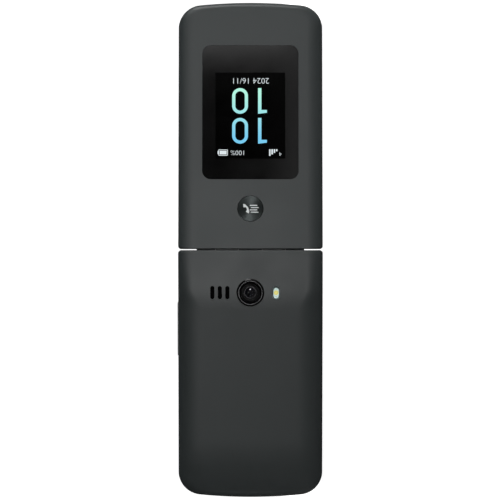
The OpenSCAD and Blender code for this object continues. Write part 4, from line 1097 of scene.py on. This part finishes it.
def white_stage(name, glow):
    """White to the camera, and still diffuse, so shadows show near the middle."""
    finish, nodes, links, surface = new_finish(name)
    surface.inputs["Base Color"].default_value = (0.8, 0.8, 0.8, 1)
    surface.inputs["Roughness"].default_value = 0.9
    surface.inputs["Emission Color"].default_value = (1, 1, 1, 1)
    path = nodes.new("ShaderNodeLightPath")
    place = nodes.new("ShaderNodeTexCoord")
    reach = nodes.new("ShaderNodeVectorMath")
    reach.operation = "LENGTH"
    links.new(place.outputs["Object"], reach.inputs[0])
    outward = nodes.new("ShaderNodeMapRange")
    outward.inputs["From Min"].default_value = NEAR_FLOOR
    outward.inputs["From Max"].default_value = FAR_FLOOR
    outward.inputs["To Min"].default_value = glow
    outward.inputs["To Max"].default_value = 1.0
    links.new(reach.outputs["Value"], outward.inputs["Value"])
    level = nodes.new("ShaderNodeMath")
    level.operation = "MULTIPLY"
    links.new(outward.outputs["Result"], level.inputs[1])
    links.new(path.outputs["Is Camera Ray"], level.inputs[0])
    links.new(level.outputs["Value"], surface.inputs["Emission Strength"])
    return finish


def stage_plane(name, corners, finish):
    mesh = bpy.data.meshes.new(name)
    mesh.from_pydata(corners, [], [(0, 1, 2, 3)])
    plane = bpy.data.objects.new(name, mesh)
    bpy.context.scene.collection.objects.link(plane)
    mesh.materials.append(finish)
    return plane


FLOOR_REACH = 3.2
FLOOR_GLOW, BACKDROP_GLOW = 0.86, 1.0
floor_corners = [(sx * FLOOR_REACH, sy * FLOOR_REACH, 0)
                 for sx, sy in ((-1, -1), (1, -1), (1, 1), (-1, 1))]
stage_plane("floor", floor_corners, white_stage("floor_white", FLOOR_GLOW))
BACKDROP_Y = 3.0
backdrop_corners = [(-FLOOR_REACH, BACKDROP_Y, 0), (FLOOR_REACH, BACKDROP_Y, 0),
                    (FLOOR_REACH, BACKDROP_Y, FLOOR_REACH), (-FLOOR_REACH, BACKDROP_Y, FLOOR_REACH)]
stage_plane("backdrop", backdrop_corners, white_stage("backdrop_white", BACKDROP_GLOW))

WORLD_LEVEL = 0.04
world = bpy.data.worlds.new("studio")
bpy.context.scene.world = world
world.use_nodes = True
sky_nodes, sky_links = world.node_tree.nodes, world.node_tree.links
backcloth = sky_nodes["Background"]
backcloth.inputs["Color"].default_value = (1.0, 1.0, 1.0, 1)
seen = sky_nodes.new("ShaderNodeLightPath")
sky_level = sky_nodes.new("ShaderNodeMapRange")
sky_level.inputs["To Min"].default_value = WORLD_LEVEL
sky_level.inputs["To Max"].default_value = 1.0
sky_links.new(seen.outputs["Is Camera Ray"], sky_level.inputs["Value"])
sky_links.new(sky_level.outputs["Result"], backcloth.inputs["Strength"])


# %% Lamps
def soft_lamp(name, toward, distance, size, power):
    """A rectangular lamp in the direction toward from the hinge, aimed back at it."""
    lamp = bpy.data.lights.new(name, "AREA")
    lamp.shape = "RECTANGLE"
    lamp.size, lamp.size_y = size
    lamp.energy = power
    holder = bpy.data.objects.new(name, lamp)
    direction = Vector(toward).normalized()
    holder.location = HINGE + direction * distance
    holder.rotation_euler = direction.to_track_quat("Z", "Y").to_euler()
    bpy.context.scene.collection.objects.link(holder)
    return holder


OUTWARD = Vector((math.sin(LEAN), -math.cos(LEAN), 0))
LIDWARD = Vector((math.cos(LEAN), math.sin(LEAN), 0))


def lamp_direction(lidward_deg, upward_deg):
    """A direction seen from the hinge: so far towards the lid's end, so far upwards."""
    a, b = math.radians(lidward_deg), math.radians(upward_deg)
    level = OUTWARD * math.cos(a) + LIDWARD * math.sin(a)
    return level * math.cos(b) + Vector((0, 0, math.sin(b)))


soft_lamp("lid_side_softbox", lamp_direction(70, 10), 1.5, (0.8, 0.8), 15)
soft_lamp("strip_softbox", lamp_direction(26.6, 10), 1.5, (0.3, 0.9), 1.35)
soft_lamp("upper_front_strip", lamp_direction(7, 1.4), 1.9, (0.16, 0.13), 3.5)
soft_lamp("lower_front_strip", lamp_direction(-7, 8), 1.9, (0.16, 0.2), 2.9)
soft_lamp("overhead_softbox", (0.1, 0.1, 1.0), 1.6, (1.4, 1.4), 0.35)
soft_lamp("inner_side_softbox", (0.2, 1.0, 0.5), 1.6, (1.0, 1.0), 14)

# %% [markdown]
# ## Camera
# The photograph looks straight at the hinge, midway between the halves, from about a metre and a
# half. The phone stands on its side here, so the camera is rolled until the lid points up.

# %% Camera
CAMERA_DISTANCE = 1.48
FRAME_WIDTH = 0.1998
SENSOR = 36.0
HINGE_TO_SKIN = 0.008
PIXEL = FRAME_WIDTH / 500
AIM_SHIFT = 0.4 * PIXEL

lens = bpy.data.cameras.new("catalogue_lens")
lens.sensor_width = SENSOR
lens.lens = SENSOR * CAMERA_DISTANCE / FRAME_WIDTH
lens.clip_start = 0.01
lens.clip_end = 20
camera = bpy.data.objects.new("catalogue_camera", lens)
bpy.context.scene.collection.objects.link(camera)
bpy.context.scene.camera = camera
aim = HINGE + OUTWARD * HINGE_TO_SKIN - LIDWARD * AIM_SHIFT + Vector((0, 0, AIM_SHIFT))
right = Vector((0, 0, -1))
turn = Matrix((right, LIDWARD, OUTWARD)).transposed()
camera.matrix_world = Matrix.Translation(aim + OUTWARD * CAMERA_DISTANCE) @ turn.to_4x4()
bpy.context.scene.view_settings.view_transform = "Standard"
print("lens, mm:", round(lens.lens, 1))
